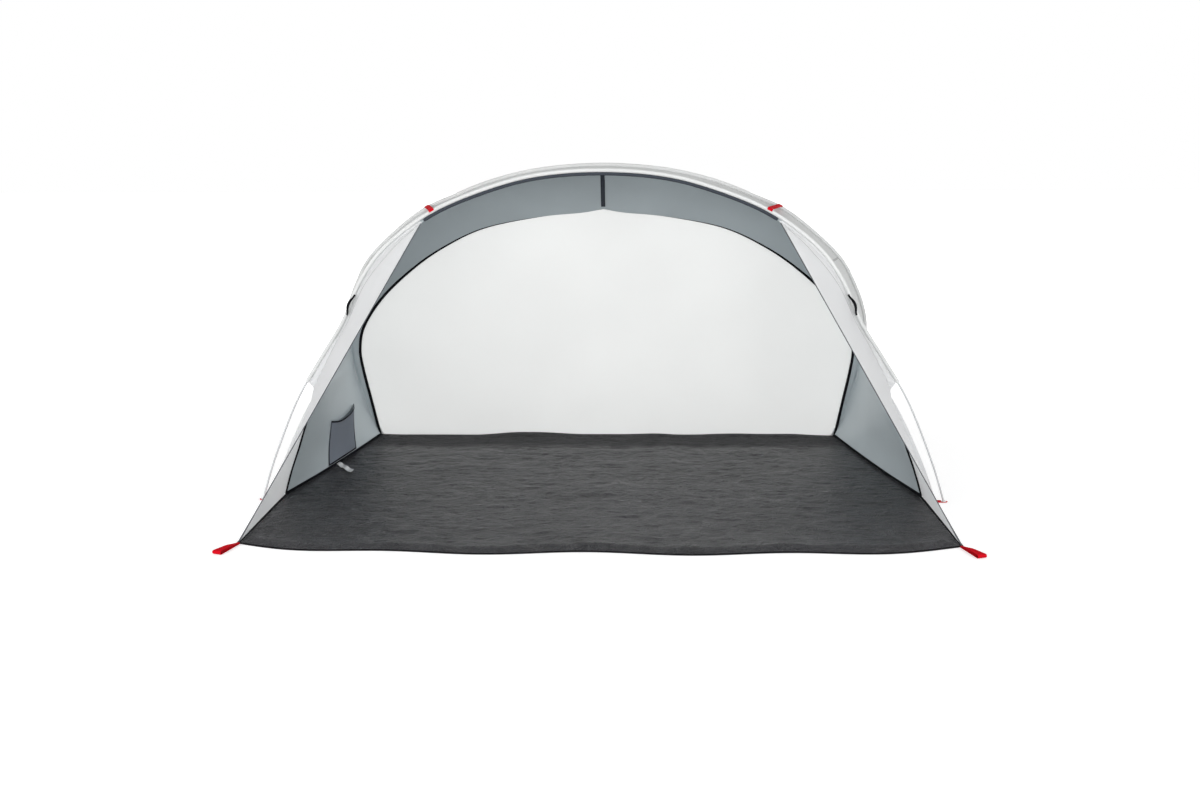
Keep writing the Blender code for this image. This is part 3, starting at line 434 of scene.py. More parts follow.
def seam_line(setback=0.0, inset=0.0):
    """Where the right wing and the side wall meet, moved back from the wing and inwards by these amounts."""
    ends = ((0.0, WALL_FOOT_Y + setback), (FRONT_SLEEVE_END_HEIGHT, FRONT_POLE_Y + setback))
    return inset_front([(height, reach + inset) for height, reach in SEAM_INSETS], ends)


CANOPY_EDGE = seam_line(CANOPY_FRONT_Y - FRONT_POLE_Y)


def crease_line():
    """The canopy under the rear pole's sleeve, on the right half."""
    line = beside(REAR_HALF, REAR_NORMAL, CREASE_INSET)
    line[0] += (WALL_BASE - line[0, 2]) / (line[1, 2] - line[0, 2]) * (line[1] - line[0])
    return line


def binding_radius(shares):
    """The back binding's radius at these shares of its right half. It thins towards the ridge."""
    return np.interp(shares, BACK_TAPE_FADE, (BACK_TAPE_RADIUS, BACK_TAPE_LEAST))


def sagged(start, end, shares, sag, inwards):
    return start + (end - start) * shares[:, None] + inwards * (4 * sag * shares * (1 - shares))[:, None]


def canopy_rows(levels):
    """The right half of the canopy: a row from the front edge to the back seam at each level.

    A row starts up to ROW_CLIMB further along the front edge than it lies along the crease.
    """
    front = at_share(CANOPY_EDGE, levels + ROW_CLIMB * np.sin(np.pi * levels))
    crease = at_share(crease_line(), levels)
    back = at_share(BACK_SEAM, levels)
    clear = binding_radius(levels) * SEAM_HOLD_SHARE
    front_shares, rear_shares = np.linspace(0, 1, FRONT_COLUMNS + 1), np.linspace(0, 1, REAR_COLUMNS + 1)
    rows = []
    for near, under, far, gap, seam_way in zip(front, crease, back, clear, tangents(back)):
        inwards = unit(under * (-1, 0, -1))
        back_way = far - under
        stop = far - unit(back_way - back_way @ seam_way * seam_way) * gap
        first = sagged(near, under, front_shares, CANOPY_SAG, inwards)
        second = sagged(under, stop, rear_shares, REAR_SAG, inwards)
        rows.append(np.vstack([first, second[1:]]))
    return drawn_in(to_rear_sleeve(softened(np.array(rows))))


def softened(rows):
    """Rounds the fold under the rear sleeve, over a few columns on each side."""
    kernel = np.array([1.0, 2.0, 3.0, 2.0, 1.0]) / 9
    eased = rows.copy()
    for column in range(FRONT_COLUMNS - 3, FRONT_COLUMNS + 4):
        eased[:, column] = np.tensordot(kernel, rows[:, column - 2:column + 3], (0, 1))
    return eased


def to_rear_sleeve(rows):
    """Lifts the fold up to the rear sleeve, which is sewn on there, above the sleeve's end."""
    line = rows[:, FRONT_COLUMNS]
    pole, ways = nearest(at_share(REAR_HALF, np.linspace(0, 1, 3000)), REAR_NORMAL, line)
    near = np.interp(line[:, 2], REAR_REACH_HEIGHTS, (0.0, 1.0))[:, None]
    step = (pole - ways * SLEEVE_RADIUS * REAR_REACH_SHARE - line) * near
    for offset, share in REAR_REACH_COLUMNS:
        rows[:, FRONT_COLUMNS + offset] += step * share
    return rows


def to_sleeve(rows):
    """Adds a first column that carries the cloth up to the back of the front sleeve, above its end."""
    edge = rows[:, 0]
    pole, ways = nearest(FRONT_HALF, FRONT_NORMAL, edge)
    near = np.interp(edge[:, 2], SLEEVE_REACH_HEIGHTS, (0.0, 1.0))[:, None]
    sewn = pole + (FRONT_NORMAL * SLEEVE_REACH_SHARE - ways * SLEEVE_REACH_DROP) * SLEEVE_RADIUS
    first = edge + (sewn - edge) * near - (rows[:, 1] - edge) * 0.02 * (1 - near)
    return np.concatenate([first[:, None], rows], axis=1)


def drawn_in(rows):
    """Brings the foot of the wall in over the floor's edge, where the rows lie outside it."""
    ends = [at_height(line, [WALL_BASE])[0] for line in (CANOPY_EDGE, crease_line())]
    foot = np.interp(rows[..., 1], [end[1] for end in ends], [end[0] for end in ends])
    fade = np.clip(1 - rows[..., 2] / FOOT_DRAW_HEIGHT, 0, 1) ** 2
    fade = fade * np.clip((rows[..., 1] - CANOPY_FRONT_Y) / FOOT_DRAW_START, 0, 1)
    rows[..., 0] -= np.clip(foot - floor_half_width(rows[..., 1]) + BINDING_WIDTH / 2, 0, None) * fade
    return rows


def front_edge_y(x):
    """The wavy, bowed front edge of the groundsheet."""
    share = np.abs(x) / (FLOOR_WIDTH / 2)
    wave = FLOOR_WAVE * np.cos(2 * np.pi * (x + FLOOR_WAVE_START) / FLOOR_WAVE_LENGTH)
    return FRONT_EDGE - (FLOOR_BOW + wave) * (1 - share**BOW_POWER)


def floor_half_width(y):
    """Half the groundsheet's width at this depth."""
    return FLOOR_WIDTH / 2 - FLOOR_TAPER * np.clip(y - WALL_FOOT_Y, 0, None)


# Waves and crinkles


def lattice_noise(u, v, seed):
    """Smooth noise from 0 to 1 over a plane, the same on every run."""
    side = 64
    table = np.random.default_rng(seed).random((side, side))
    left, low = np.floor(u).astype(int), np.floor(v).astype(int)
    a, b = u - left, v - low
    a, b = a * a * a * (a * (a * 6 - 15) + 10), b * b * b * (b * (b * 6 - 15) + 10)
    found = 0.0
    for i, share_u in ((0, 1 - a), (1, a)):
        for j, share_v in ((0, 1 - b), (1, b)):
            found = found + table[(left + i) % side, (low + j) % side] * share_u * share_v
    return found


def layered_noise(u, v, seed, layers=3):
    sizes = 0.5 ** np.arange(layers)
    total = sum(lattice_noise(u / size, v / size, seed + layer) * size for layer, size in enumerate(sizes))
    return total / sizes.sum()


def edge_fade(rows, columns, margin=0.12):
    """0 at a grid's edges and 1 inside."""
    down, over = (np.minimum(np.linspace(0, 1, n), np.linspace(1, 0, n)) for n in (rows, columns))
    share = np.clip(np.minimum(down[:, None], over) / margin, 0, 1)
    return share * share * (3 - 2 * share)


def grid_normals(grid, heart):
    """Unit normals of a grid, pointing away from the heart."""
    normals = np.cross(np.gradient(grid, axis=0), np.gradient(grid, axis=1))
    normals /= np.maximum(np.linalg.norm(normals, axis=2, keepdims=True), 1e-12)
    return normals * np.sign(np.sum(normals * (grid - heart)))


def grid_runs(grid):
    """How far each column, and each row, lies from the grid's first one."""
    steps = (np.linalg.norm(np.diff(grid, axis=axis), axis=2).mean(1 - axis) for axis in (1, 0))
    return [np.concatenate([[0], np.cumsum(step)]) for step in steps]


def waved(grid, height, seed, scale=5.0):
    """The grid with soft waves pushed along its normals, and none at its edges."""
    u, v = np.meshgrid(*grid_runs(grid))
    waves = layered_noise(u * scale, v * scale, seed) - 0.5
    return grid + grid_normals(grid, HEART) * (waves * edge_fade(*grid.shape[:2]) * 2 * height)[:, :, None]


# Meshes


def build(name, points, faces, finishes, uvs=None, face_slots=None):
    """A smooth mesh object. uvs holds one (u, v) for each corner of each face, in metres."""
    mesh = bpy.data.meshes.new(name)
    mesh.from_pydata(np.asarray(points, float).tolist(), [], faces)
    for finish in finishes:
        mesh.materials.append(finish)
    if uvs is not None:
        mesh.uv_layers.new(name="metres").data.foreach_set("uv", np.asarray(uvs, np.float32).ravel())
    if face_slots is not None:
        mesh.polygons.foreach_set("material_index", np.asarray(face_slots, np.int32))
    mesh.validate()
    mesh.shade_smooth()
    mesh.set_sharp_from_angle(angle=SHARP_ANGLE)
    made = bpy.data.objects.new(name, mesh)
    bpy.context.scene.collection.objects.link(made)
    return made


def quads(rows, columns):
    """The corner indices of a grid's quads."""
    row, column = np.meshgrid(np.arange(rows - 1), np.arange(columns - 1), indexing="ij")
    first = (row * columns + column).ravel()
    return np.stack([first, first + 1, first + columns + 1, first + columns], -1)


def cloth(name, grid, finishes, thickness, heart=HEART):
    """A thin sheet with an outer and an inner face, and a rim. The last finish is the inner one."""
    rows, columns = grid.shape[:2]
    normals = grid_normals(grid, heart)
    points = np.vstack([(grid + normals * thickness * side).reshape(-1, 3) for side in (0.5, -0.5)])
    index = np.arange(rows * columns).reshape(rows, columns)
    edge = np.concatenate([index[0, :-1], index[:-1, -1], index[-1, :0:-1], index[:0:-1, 0]])
    after = np.roll(edge, -1)
    middle = (rows // 2, columns // 2)
    down = grid[middle[0] + 1, middle[1]] - grid[middle]
    over = grid[middle[0], middle[1] + 1] - grid[middle]
    turn = -1 if np.cross(over, down) @ normals[middle] < 0 else 1
    top = quads(rows, columns)[:, ::turn]
    rim = np.stack([edge, edge + index.size, after + index.size, after], -1)[:, ::turn]
    faces = np.vstack([top, top[:, ::-1] + index.size, rim])
    flat = np.tile(np.stack(np.meshgrid(*grid_runs(grid)), -1).reshape(-1, 2), (2, 1))
    slots = np.zeros(len(faces), int)
    slots[len(top):2 * len(top)] = len(finishes) - 1
    return build(name, points, faces.tolist(), finishes, flat[faces.ravel()], slots)


def swept(name, rings, finish, closed=False):
    """A skin over rings of points. A closed one joins its last ring to its first, and others are capped."""
    rings = np.asarray(rings, float)
    count, sides = rings.shape[:2]
    runs = along(rings.mean(1))
    runs = np.append(runs, runs[-1] + np.linalg.norm(rings[0].mean(0) - rings[-1].mean(0)))
    girth = np.linalg.norm(np.roll(rings[count // 2], -1, 0) - rings[count // 2], axis=1)
    girth = np.concatenate([[0], np.cumsum(girth)])
    faces, uvs = [], []
    for i in range(count if closed else count - 1):
        for j in range(sides):
            k, m = (i + 1) % count, (j + 1) % sides
            faces.append((i * sides + j, i * sides + m, k * sides + m, k * sides + j))
            run, after, low, high = runs[i], runs[i + 1], girth[j], girth[j + 1]
            uvs += [(run, low), (run, high), (after, high), (after, low)]
    if not closed:
        for start, order in ((0, -1), ((count - 1) * sides, 1)):
            faces.append(tuple(start + j for j in range(sides))[::order])
            uvs += [(0.0, girth[j]) for j in range(sides)][::order]
    made = build(name, rings.reshape(-1, 3), faces, [finish], uvs)
    if inside_out(made):
        made.data.flip_normals()
    return made


def inside_out(made):
    """Whether a closed mesh's faces point inwards."""
    made.data.calc_loop_triangles()
    points = np.empty(len(made.data.vertices) * 3)
    made.data.vertices.foreach_get("co", points)
    corners = np.empty(len(made.data.loop_triangles) * 3, np.int32)
    made.data.loop_triangles.foreach_get("vertices", corners)
    return np.linalg.det(points.reshape(-1, 3)[corners.reshape(-1, 3)]).sum() < 0


def circle_rings(path, normal, radii, sides):
    """Round rings across a path. The normal steers where each ring starts."""
    ways = tangents(path)
    over = unit(np.cross(ways, normal))
    angles = np.linspace(0, 2 * np.pi, sides, endpoint=False)[:, None]
    circle = over[:, None] * np.cos(angles) + np.cross(over, ways)[:, None] * np.sin(angles)
    return path[:, None] + circle * np.broadcast_to(radii, len(path))[:, None, None]


def rod(name, path, normal, radii, finish, sides=12):
    """A round cord or binding with domed ends."""
    radii = np.broadcast_to(radii, len(path)).astype(float)
    turn = np.radians((80, 55, 28))
    first, last = tangents(path)[[0, -1]]
    start = [path[0] + first * radii[0] * (1 - np.sin(a)) for a in turn]
    end = [path[-1] - last * radii[-1] * (1 - np.sin(a)) for a in turn[::-1]]
    run = along(path)
    inside = (run > radii[0]) & (run < run[-1] - radii[-1])
    sizes = np.concatenate([radii[0] * np.cos(turn), radii[inside], radii[-1] * np.cos(turn[::-1])])
    return swept(name, circle_rings(np.vstack([start, path[inside], end]), normal, sizes, sides), finish)


def tube(name, path, normal, radii, wall, finish, sides):
    """A hollow tube, open at both ends."""
    outer, inner = (circle_rings(path, normal, radii - less, sides) for less in (0.0, wall))
    return swept(name, np.concatenate([outer, inner[::-1]]), finish, closed=True)


def tape_section(width, thickness):
    """A flat strap's rounded outline, as (across, up) points."""
    half, up, edge = width / 2, thickness / 2, min(thickness, width / 4)
    top = [(-half + edge, up), (-half / 2, up), (0.0, up), (half / 2, up), (half - edge, up)]
    side = [(half - edge * 0.3, up * 0.75), (half, 0.0), (half - edge * 0.3, -up * 0.75)]
    return np.array(top + side + [(x, -z) for x, z in top[::-1]] + [(-x, -z) for x, z in side])


def ribbon(name, path, across, width, thickness, finish, closed=False):
    """Flat webbing or tape along a path. The across directions point over its width."""
    ways = tangents(path)
    across = np.broadcast_to(across, path.shape)
    across = unit(across - ways * np.sum(ways * across, axis=1)[:, None])
    rises, widths = np.cross(ways, across), np.broadcast_to(width, len(path))
    rings = []
    for place, over, rise, size in zip(path, across, rises, widths):
        section = tape_section(size, thickness)
        rings.append(place + section[:, :1] * over + section[:, 1:] * rise)
    return swept(name, rings, finish, closed=closed)


def stitches(name, path, up, finish, length, thick=0.0005):
    """A row of short threads lying along a path, on cloth that faces up."""
    pitch = length * STITCH_PITCH
    middles = np.arange(pitch / 2, along(path)[-1] - length / 2, pitch)
    turns = np.linspace(0, 2 * np.pi, 5, endpoint=False)
    points, faces = [], []
    for head, tail in zip(*(at_distance(path, middles + end) for end in (-length / 2, length / 2))):
        side = np.cross(unit(tail - head), up)
        base = len(points)
        for share, size in ((0, 0.35), (0.25, 1.0), (0.75, 1.0), (1, 0.35)):
            middle = head + (tail - head) * share
            points += [
                middle + (side * np.cos(turn) + up * np.sin(turn)) * thick / 2 * size for turn in turns
            ]
        for ring in (base, base + 5, base + 10):
            faces += [(ring + a, ring + a + 5, ring + (a + 1) % 5 + 5, ring + (a + 1) % 5) for a in range(5)]
        faces += [tuple(range(base, base + 5)), tuple(range(base + 15, base + 20))[::-1]]
    return build(name, points, faces, [finish])


def joined(name, pieces):
    """One object from several."""
    first = pieces[0]
    with bpy.context.temp_override(active_object=first, object=first, selected_editable_objects=pieces):
        bpy.ops.object.join()
    first.name = first.data.name = name
    return first


def settle(piece, body, slot, *nodes):
    """Rides the piece on a body and stands it in for CAD nodes. The slot is not used."""
    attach(piece, body)
    if nodes:
        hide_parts(*nodes)
    return piece


def declare(grid):
    steps = (np.linalg.norm(np.diff(grid, axis=axis), axis=2).sum(axis).max() for axis in (1, 0))
    flat = tuple(round(float(step), 3) for step in steps)


# Finishes


def finish_nodes(name, roughness, **inputs):
    """A new material, with its node tree, its shader and its texture coordinates."""
    made = bpy.data.materials.new(name)
    made.use_nodes = True
    tree = made.node_tree
    shader = tree.nodes["Principled BSDF"]
    shader.inputs["Roughness"].default_value = roughness
    for key, value in inputs.items():
        shader.inputs[key].default_value = value
    return made, tree, shader, node(tree, "ShaderNodeTexCoord").outputs


def node(tree, kind, links=None, **values):
    """Adds a node. Values set its inputs or else its own settings, and links feed its inputs."""
    made = tree.nodes.new(kind)
    for key, value in values.items():
        if key in made.inputs:
            made.inputs[key].default_value = value
        else:
            setattr(made, key, value)
    for key, source in (links or {}).items():
        tree.links.new(source, made.inputs[key])
    return made


def math_node(tree, operation, first, second):
    made = node(tree, "ShaderNodeMath", operation=operation)
    for socket, value in zip(made.inputs, (first, second)):
        if isinstance(value, (int, float)):
            socket.default_value = value
        else:
            tree.links.new(value, socket)
    return made.outputs[0]


def weighted(tree, *terms):
    """The sum of two outputs, each taken times its share."""
    return math_node(tree, "ADD", *(math_node(tree, "MULTIPLY", output, share) for output, share in terms))


def stretched(tree, source, scale):
    """Texture coordinates scaled along each axis."""
    return node(tree, "ShaderNodeMapping", {"Vector": source}, Scale=scale).outputs["Vector"]


def noise_output(tree, vector, scale, detail=3.0, roughness=0.5, distortion=0.0):
    return node(
        tree, "ShaderNodeTexNoise", {"Vector": vector},
        Scale=scale, Detail=detail, Roughness=roughness, Distortion=distortion,
    ).outputs["Fac"]


def weave_output(tree, metres, thread):
    """Two crossed sets of threads, as a height."""
    found = [
        node(
            tree, "ShaderNodeTexWave", {"Vector": metres},
            wave_type="BANDS", bands_direction=direction, Scale=THREADS_PER_WAVE / thread,
        ).outputs["Fac"]
        for direction in ("X", "Y")
    ]
    return math_node(tree, "MAXIMUM", *found)


def ramp_output(tree, factor, low, high, reach=(0.0, 1.0)):
    """A colour between two, by a factor from a texture."""
    made = node(tree, "ShaderNodeValToRGB", {"Fac": factor})
    for stop, place, colour in zip(made.color_ramp.elements, reach, (low, high)):
        stop.position = place
        stop.color = (*colour, 1.0)
    return made.outputs["Color"]


def shaded_colour(tree, shader, colour, factor, dark, light):
    """The colour between a darker and a lighter tone of itself, by a factor from a texture."""
    low, high = [c * dark for c in colour], [min(1.0, c * light) for c in colour]
    tree.links.new(ramp_output(tree, factor, low, high, (0.3, 0.7)), shader.inputs["Base Color"])


def bumped(tree, shader, layers):
    """Chains bumps of (height, distance in metres, strength) into the shader's normal."""
    last = shader.inputs["Normal"]
    for height, reach, strength in reversed(layers):
        bump = node(tree, "ShaderNodeBump", {"Height": height}, Strength=strength, Distance=reach)
        tree.links.new(bump.outputs["Normal"], last)
        last = bump.inputs["Normal"]


def mixed_surface(tree, share, first, second):
    """Shows two shaders mixed. The share of the second is a number or a node's output."""
    mix = node(tree, "ShaderNodeMixShader")
    if isinstance(share, float):
        mix.inputs["Fac"].default_value = share
    else:
        tree.links.new(share, mix.inputs["Fac"])
    tree.links.new(first.outputs[0], mix.inputs[1])
    tree.links.new(second.outputs[0], mix.inputs[2])
    out = next(found for found in tree.nodes if found.bl_idname.startswith("ShaderNodeOutput"))
    tree.links.new(mix.outputs[0], out.inputs["Surface"])


def let_through(tree, shader, share):
    """Lets this share of the light pass through the cloth to its other side."""
    colour, normal = (shader.inputs[key].links[0].from_socket for key in ("Base Color", "Normal"))
    glow = node(tree, "ShaderNodeBsdfTranslucent", {"Color": colour, "Normal": normal})
    mixed_surface(tree, share, shader, glow)


def woven_finish(
    name, colour, roughness=0.62, thread=0.0006, tone=(0.96, 1.02), waves=0.0010, through=0.0, shine=0.1,
):
    """Plain woven cloth with threads, soft waves and a slow change of tone."""
    made, tree, shader, place = finish_nodes(name, roughness, **{"Specular IOR Level": shine})
    soft = noise_output(tree, place["Object"], 7.0, detail=4.0, distortion=0.4)
    slow = noise_output(tree, place["Object"], 2.2, detail=2.0)
    shaded_colour(tree, shader, colour, slow, *tone)
    threads = weave_output(tree, place["UV"], thread)
    bumped(tree, shader, [(soft, waves, 0.5), (threads, thread / 5, 0.35)])
    if through:
        let_through(tree, shader, through)
    return made


def coated_finish(name, colour):
    """The canopy's coated inner face: smoother than cloth, with faint broad waves."""
    made, tree, shader, place = finish_nodes(name, 0.42, **{"Specular IOR Level": 0.4})
    slow = noise_output(tree, place["Object"], 1.6, distortion=0.6)
    soft = noise_output(tree, place["Object"], 9.0, detail=4.0, distortion=0.5)
    shaded_colour(tree, shader, colour, slow, 0.93, 1.06)
    threads = weave_output(tree, place["UV"], 0.0006)
    bumped(tree, shader, [(soft, 0.0012, 0.5), (threads, 0.0001, 0.25)])
    return made


def groundsheet_finish(colour):
    """Dark coated cloth with fine crinkles that run across the tent, and a rougher band at its rear that is
    darkened with painted shade, where the back wall shades the floor.
    """
    made, tree, shader, place = finish_nodes("groundsheet_cloth", 0.29, **{"Specular IOR Level": 0.42})
    wide = stretched(tree, place["Object"], (5.0, 9.0, 5.0))
    fine = stretched(tree, place["Object"], (20.0, 30.0, 20.0))
    creases = noise_output(tree, wide, 1.0, detail=5.0, roughness=0.6, distortion=1.2)
    crinkles = noise_output(tree, fine, 1.0, detail=4.0, roughness=0.65, distortion=1.6)
    sharp = math_node(tree, "ABSOLUTE", math_node(tree, "SUBTRACT", crinkles, 0.5), 0.0)
    slow = noise_output(tree, place["Object"], 2.0, distortion=0.5)
    mixed = weighted(tree, (slow, 0.6), (creases, 0.4))
    apart = node(tree, "ShaderNodeSeparateXYZ", {0: place["Object"]})
    wavy = math_node(tree, "MULTIPLY", math_node(tree, "SUBTRACT", creases, 0.5), 0.16)
    # Painted shade: a band along the rear edge is darkened where the back wall shades the floor, and is also
    # made rougher
    shade_band = node(
        tree, "ShaderNodeMapRange", {"Value": math_node(tree, "ADD", apart.outputs["Y"], wavy)},
        interpolation_type="SMOOTHSTEP",
        **{"From Min": REAR_EDGE - REAR_SHADE_BAND, "From Max": REAR_EDGE - REAR_SHADE_BAND + REAR_SHADE_FADE},
    ).outputs["Result"]
    mixed = math_node(tree, "SUBTRACT", mixed, math_node(tree, "MULTIPLY", shade_band, 0.45))
    shaded_colour(tree, shader, colour, mixed, 0.50, 1.25)
    rough = math_node(tree, "ADD", math_node(tree, "MULTIPLY", shade_band, 0.4), 0.29)
    tree.links.new(rough, shader.inputs["Roughness"])
    threads = weave_output(tree, place["UV"], 0.0007)
    bumped(tree, shader, [(creases, 0.024, 1.0), (sharp, 0.024, 1.0), (threads, 0.00012, 0.3)])
    return made


def webbing_finish(name, colour, thread=0.0011, roughness=0.9):
    """Thick woven webbing with ribs along it."""
    made, tree, shader, place = finish_nodes(name, roughness, **{"Specular IOR Level": 0.04})
    threads = weave_output(tree, place["UV"], thread)
    slow = noise_output(tree, place["Object"], 60.0)
    mixed = weighted(tree, (slow, 0.5), (threads, 0.5))
    shaded_colour(tree, shader, colour, mixed, 0.78, 1.08)
    bumped(tree, shader, [(threads, 0.0004, 0.6)])
    return made


def grained_finish(name, colour, grain, detail, tone, depth, **inputs):
    """A smooth hard surface with a fine grain, stretched along it or round it by this scale."""
    made, tree, shader, place = finish_nodes(name, 0.28, **inputs)
    fibres = noise_output(tree, stretched(tree, place["UV"], grain), 1.0, detail=detail)
    shaded_colour(tree, shader, colour, fibres, *tone)
    bumped(tree, shader, [(fibres, depth, 0.3)])
    return made


FINISHES = {}


def finish(key):
    """The material of this kind, made once from the scene's colours."""
    if key in FINISHES:
        return FINISHES[key]
    colours = bpy.context.scene.tent_colours
    makers = {
        "canopy": lambda: woven_finish("canopy_cloth_outer", colours.canopy, through=0.15),
        "back": lambda: woven_finish(
            "back_wall_cloth", colours.back, tone=(0.98, 1.01), waves=0.0006, through=0.7,
        ),
        "wing": lambda: woven_finish("wing_cloth_white", colours.wing, through=0.45),
        "sleeve": lambda: woven_finish("sleeve_cloth", colours.canopy, waves=0.0014, through=0.2),
        # The seams' tape is the canopy's white cloth darkened to 0.62: painted shade along the shoulder and
        # channel seams
        "seam": lambda: woven_finish("felled_seam_painted_shade", [c * 0.62 for c in colours.canopy]),
        "lining": lambda: coated_finish("canopy_lining", colours.lining),
        "floor": lambda: groundsheet_finish(colours.floor),
        "tape": lambda: webbing_finish("binding_tape", colours.tape, 0.0008, 0.65),
        "hem": lambda: webbing_finish("hem_tape", colours.hem, 0.0008, 0.6),
        "piping": lambda: webbing_finish("wing_edge_tape", colours.piping, 0.0008, 0.6),
        "pocket": lambda: woven_finish("pocket_weave", colours.pocket, 0.7, 0.0012, (0.85, 1.1)),
        "webbing": lambda: webbing_finish("red_strap", colours.webbing),
        "black": lambda: webbing_finish("black_strap", colours.tape),
        "red_thread": lambda: woven_finish(
            "red_sewing_thread", [c * 0.55 for c in colours.webbing], thread=0.0003,
        ),
        "label": lambda: woven_finish(
            "label_satin", colours.label, 0.26, 0.0004, (0.97, 1.0), 0.0004, shine=0.9,
        ),
        "pole": lambda: grained_finish(
            "fibreglass_tube", colours.pole, (30.0, 1800.0, 1.0), 3.0, (0.90, 1.04), 0.0001,
            **{"Coat Weight": 0.3},
        ),
        "steel": lambda: grained_finish(
            "plated_steel", (0.66, 0.66, 0.65), (400.0, 4000.0, 1.0), 2.0, (0.92, 1.05), 0.00005,
            Metallic=1.0,
        ),
    }
    FINISHES[key] = makers[key]()
    return FINISHES[key]


# Pieces


def add_poles():
    for prefix, half, normal in POLES:
        path = mirrored(pole_line(half))
        length = along(path)[-1] / POLE_SECTIONS
        shares = np.clip(np.linspace(0, 1, 60), POLE_SECTION_GAP, 1 - POLE_SECTION_GAP)
        for index in range(POLE_SECTIONS):
            section, name = at_distance(path, (index + shares) * length), f"{prefix}_pole_tube_{index + 1}"
            piece = tube(name, section, normal, POLE_DIAMETER / 2, POLE_WALL, finish("pole"), 20)
            settle(piece, "tent", "fibreglass", f"{prefix}_pole_section_{index + 1}")
        for index in range(1, POLE_SECTIONS):
            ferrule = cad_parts[f"{prefix}_ferrule_{index}"].data
            ferrule.materials.clear()
            ferrule.materials.append(finish("steel"))


def add_sleeves(sizes):
    for (prefix, half, normal), height in zip(POLES, (FRONT_SLEEVE_END_HEIGHT, REAR_SLEEVE_END_HEIGHT)):
        path = mirrored(pole_line(half))
        rising = path[: len(path) // 2 + 1]
        start = float(np.interp(height, rising[:, 2], along(rising)))
        length = along(path)[-1]
        runs = np.linspace(start, length - start, 420)
        radii = SLEEVE_RADIUS * (1 + SLEEVE_RIPPLE * (layered_noise(runs * 60, runs * 0, 11) - 0.5))
        name, section = f"{prefix}_sleeve_cloth", at_distance(path, runs)
        piece = tube(name, section, normal, radii, sizes.cloth, finish("sleeve"), 18)
        settle(piece, "tent", "white_cloth", f"{prefix}_sleeve")


def add_roof(sizes):
    right = to_sleeve(canopy_rows(np.linspace(SHOULDER_SEAM_SHARE, 1, 70)))
    right[-1, :, 0] = 0.0
    roof = waved(mirrored(right), sizes.slack, 3)
    ridge = right[-1][1:-1]
    ways = tangents(ridge)
    down = np.stack([np.zeros(len(ways)), ways[:, 2], -ways[:, 1]], -1)
    tape = ribbon(
        "ridge_tape_strip", ridge + down * (FABRIC / 2 + GAP + THIN_TAPE), (1.0, 0.0, 0.0),
        RIDGE_TAPE_WIDTH, THIN_TAPE, finish("hem"),
    )
    with_roof = [settle(tape, "tent", "black_tape", "ridge_tape")]
    level = canopy_rows(SHOULDER_SEAM_SHARE + np.array([-0.004, 0, 0.004]))
    path = (level[1] + grid_normals(level, HEART)[1] * 0.0011)[1:FRONT_COLUMNS + 1]
    across = (level[2] - level[0])[1:FRONT_COLUMNS + 1]
    for word, side in SIDES:
        strip = ribbon(
            # The shoulder seam wears the darkened seam finish: painted shade along the seam
            f"shoulder_seam_{word}", path * (side, 1, 1), across * (side, 1, 1), SHOULDER_TAPE_WIDTH,
            SHOULDER_TAPE_THICKNESS, finish("seam"),
        )
        with_roof.append(settle(strip, "tent", "white_cloth"))
    piece = cloth("roof_cloth", roof, (finish("canopy"), finish("lining")), sizes.cloth)
    settle(piece, "tent", "canopy_cloth", "roof_panel")
    declare(roof)


def add_side_walls(sizes):
    half = to_sleeve(canopy_rows(np.linspace(0, SHOULDER_SEAM_SHARE, 80)))
    seam = seam_line(FABRIC + GAP + SEAM_PIPING_DIAMETER / 2, SEAM_CORD_RADIUS)
    top = at_x(flange_line(), WING_TOP_WIDTH / 2)[2] - CORD_TOP_DROP
    seam = at_height(seam, np.linspace(WALL_BASE + SEAM_PIPING_DIAMETER / 2, top, 160))
    for word, side in SIDES:
        grid = waved(half * (side, 1, 1), sizes.slack, 20 + side)
        piece = cloth(f"side_cloth_{word}", grid, (finish("canopy"), finish("lining")), sizes.cloth)
        settle(piece, "tent", "canopy_cloth", f"side_panel_{word}")
        path = seam * (side, 1, 1)
        cord = rod(f"wall_seam_cord_{word}", path, FRONT_NORMAL, SEAM_CORD_RADIUS, finish("tape"))
        settle(cord, "tent", "black_tape", f"wall_seam_piping_{word}")
        declare(grid)


def add_back_wall(sizes):
    shares = np.linspace(0, 1, 90)
    seam = at_share(BACK_SEAM, shares)
    ways = across_arch(at_share(tangents(BACK_SEAM), shares), BACK_NORMAL)
    top = seam - ways * (binding_radius(shares) * SEAM_HOLD_SHARE)[:, None]
    top[-1, 0] = 0.0
    across = np.linspace(top[0, 0], 0, len(shares))
    foot = np.array([[x, REAR_EDGE - BINDING_WIDTH / 2, WALL_BASE] for x in across])
    right = np.array([
        sagged(low, high, np.linspace(0, 1, 40), BACK_WALL_BULGE * share, FRONT_NORMAL)
        for low, high, share in zip(foot, top, shares)
    ])
    grid = waved(mirrored(right), sizes.slack, 40, 4.0)
    piece = cloth("back_wall_cloth", grid, [finish("back")], sizes.cloth)
    settle(piece, "tent", "white_cloth", "back_wall")
    shares = np.linspace(0, 1, 200)
    radii = binding_radius(shares)
    cord = rod(
        "back_seam_tape", mirrored(at_share(BACK_SEAM, shares)), BACK_NORMAL,
        np.concatenate([radii, radii[-2::-1]]), finish("tape"),
    )
    settle(cord, "tent", "black_tape", "back_seam_binding")
    declare(grid)


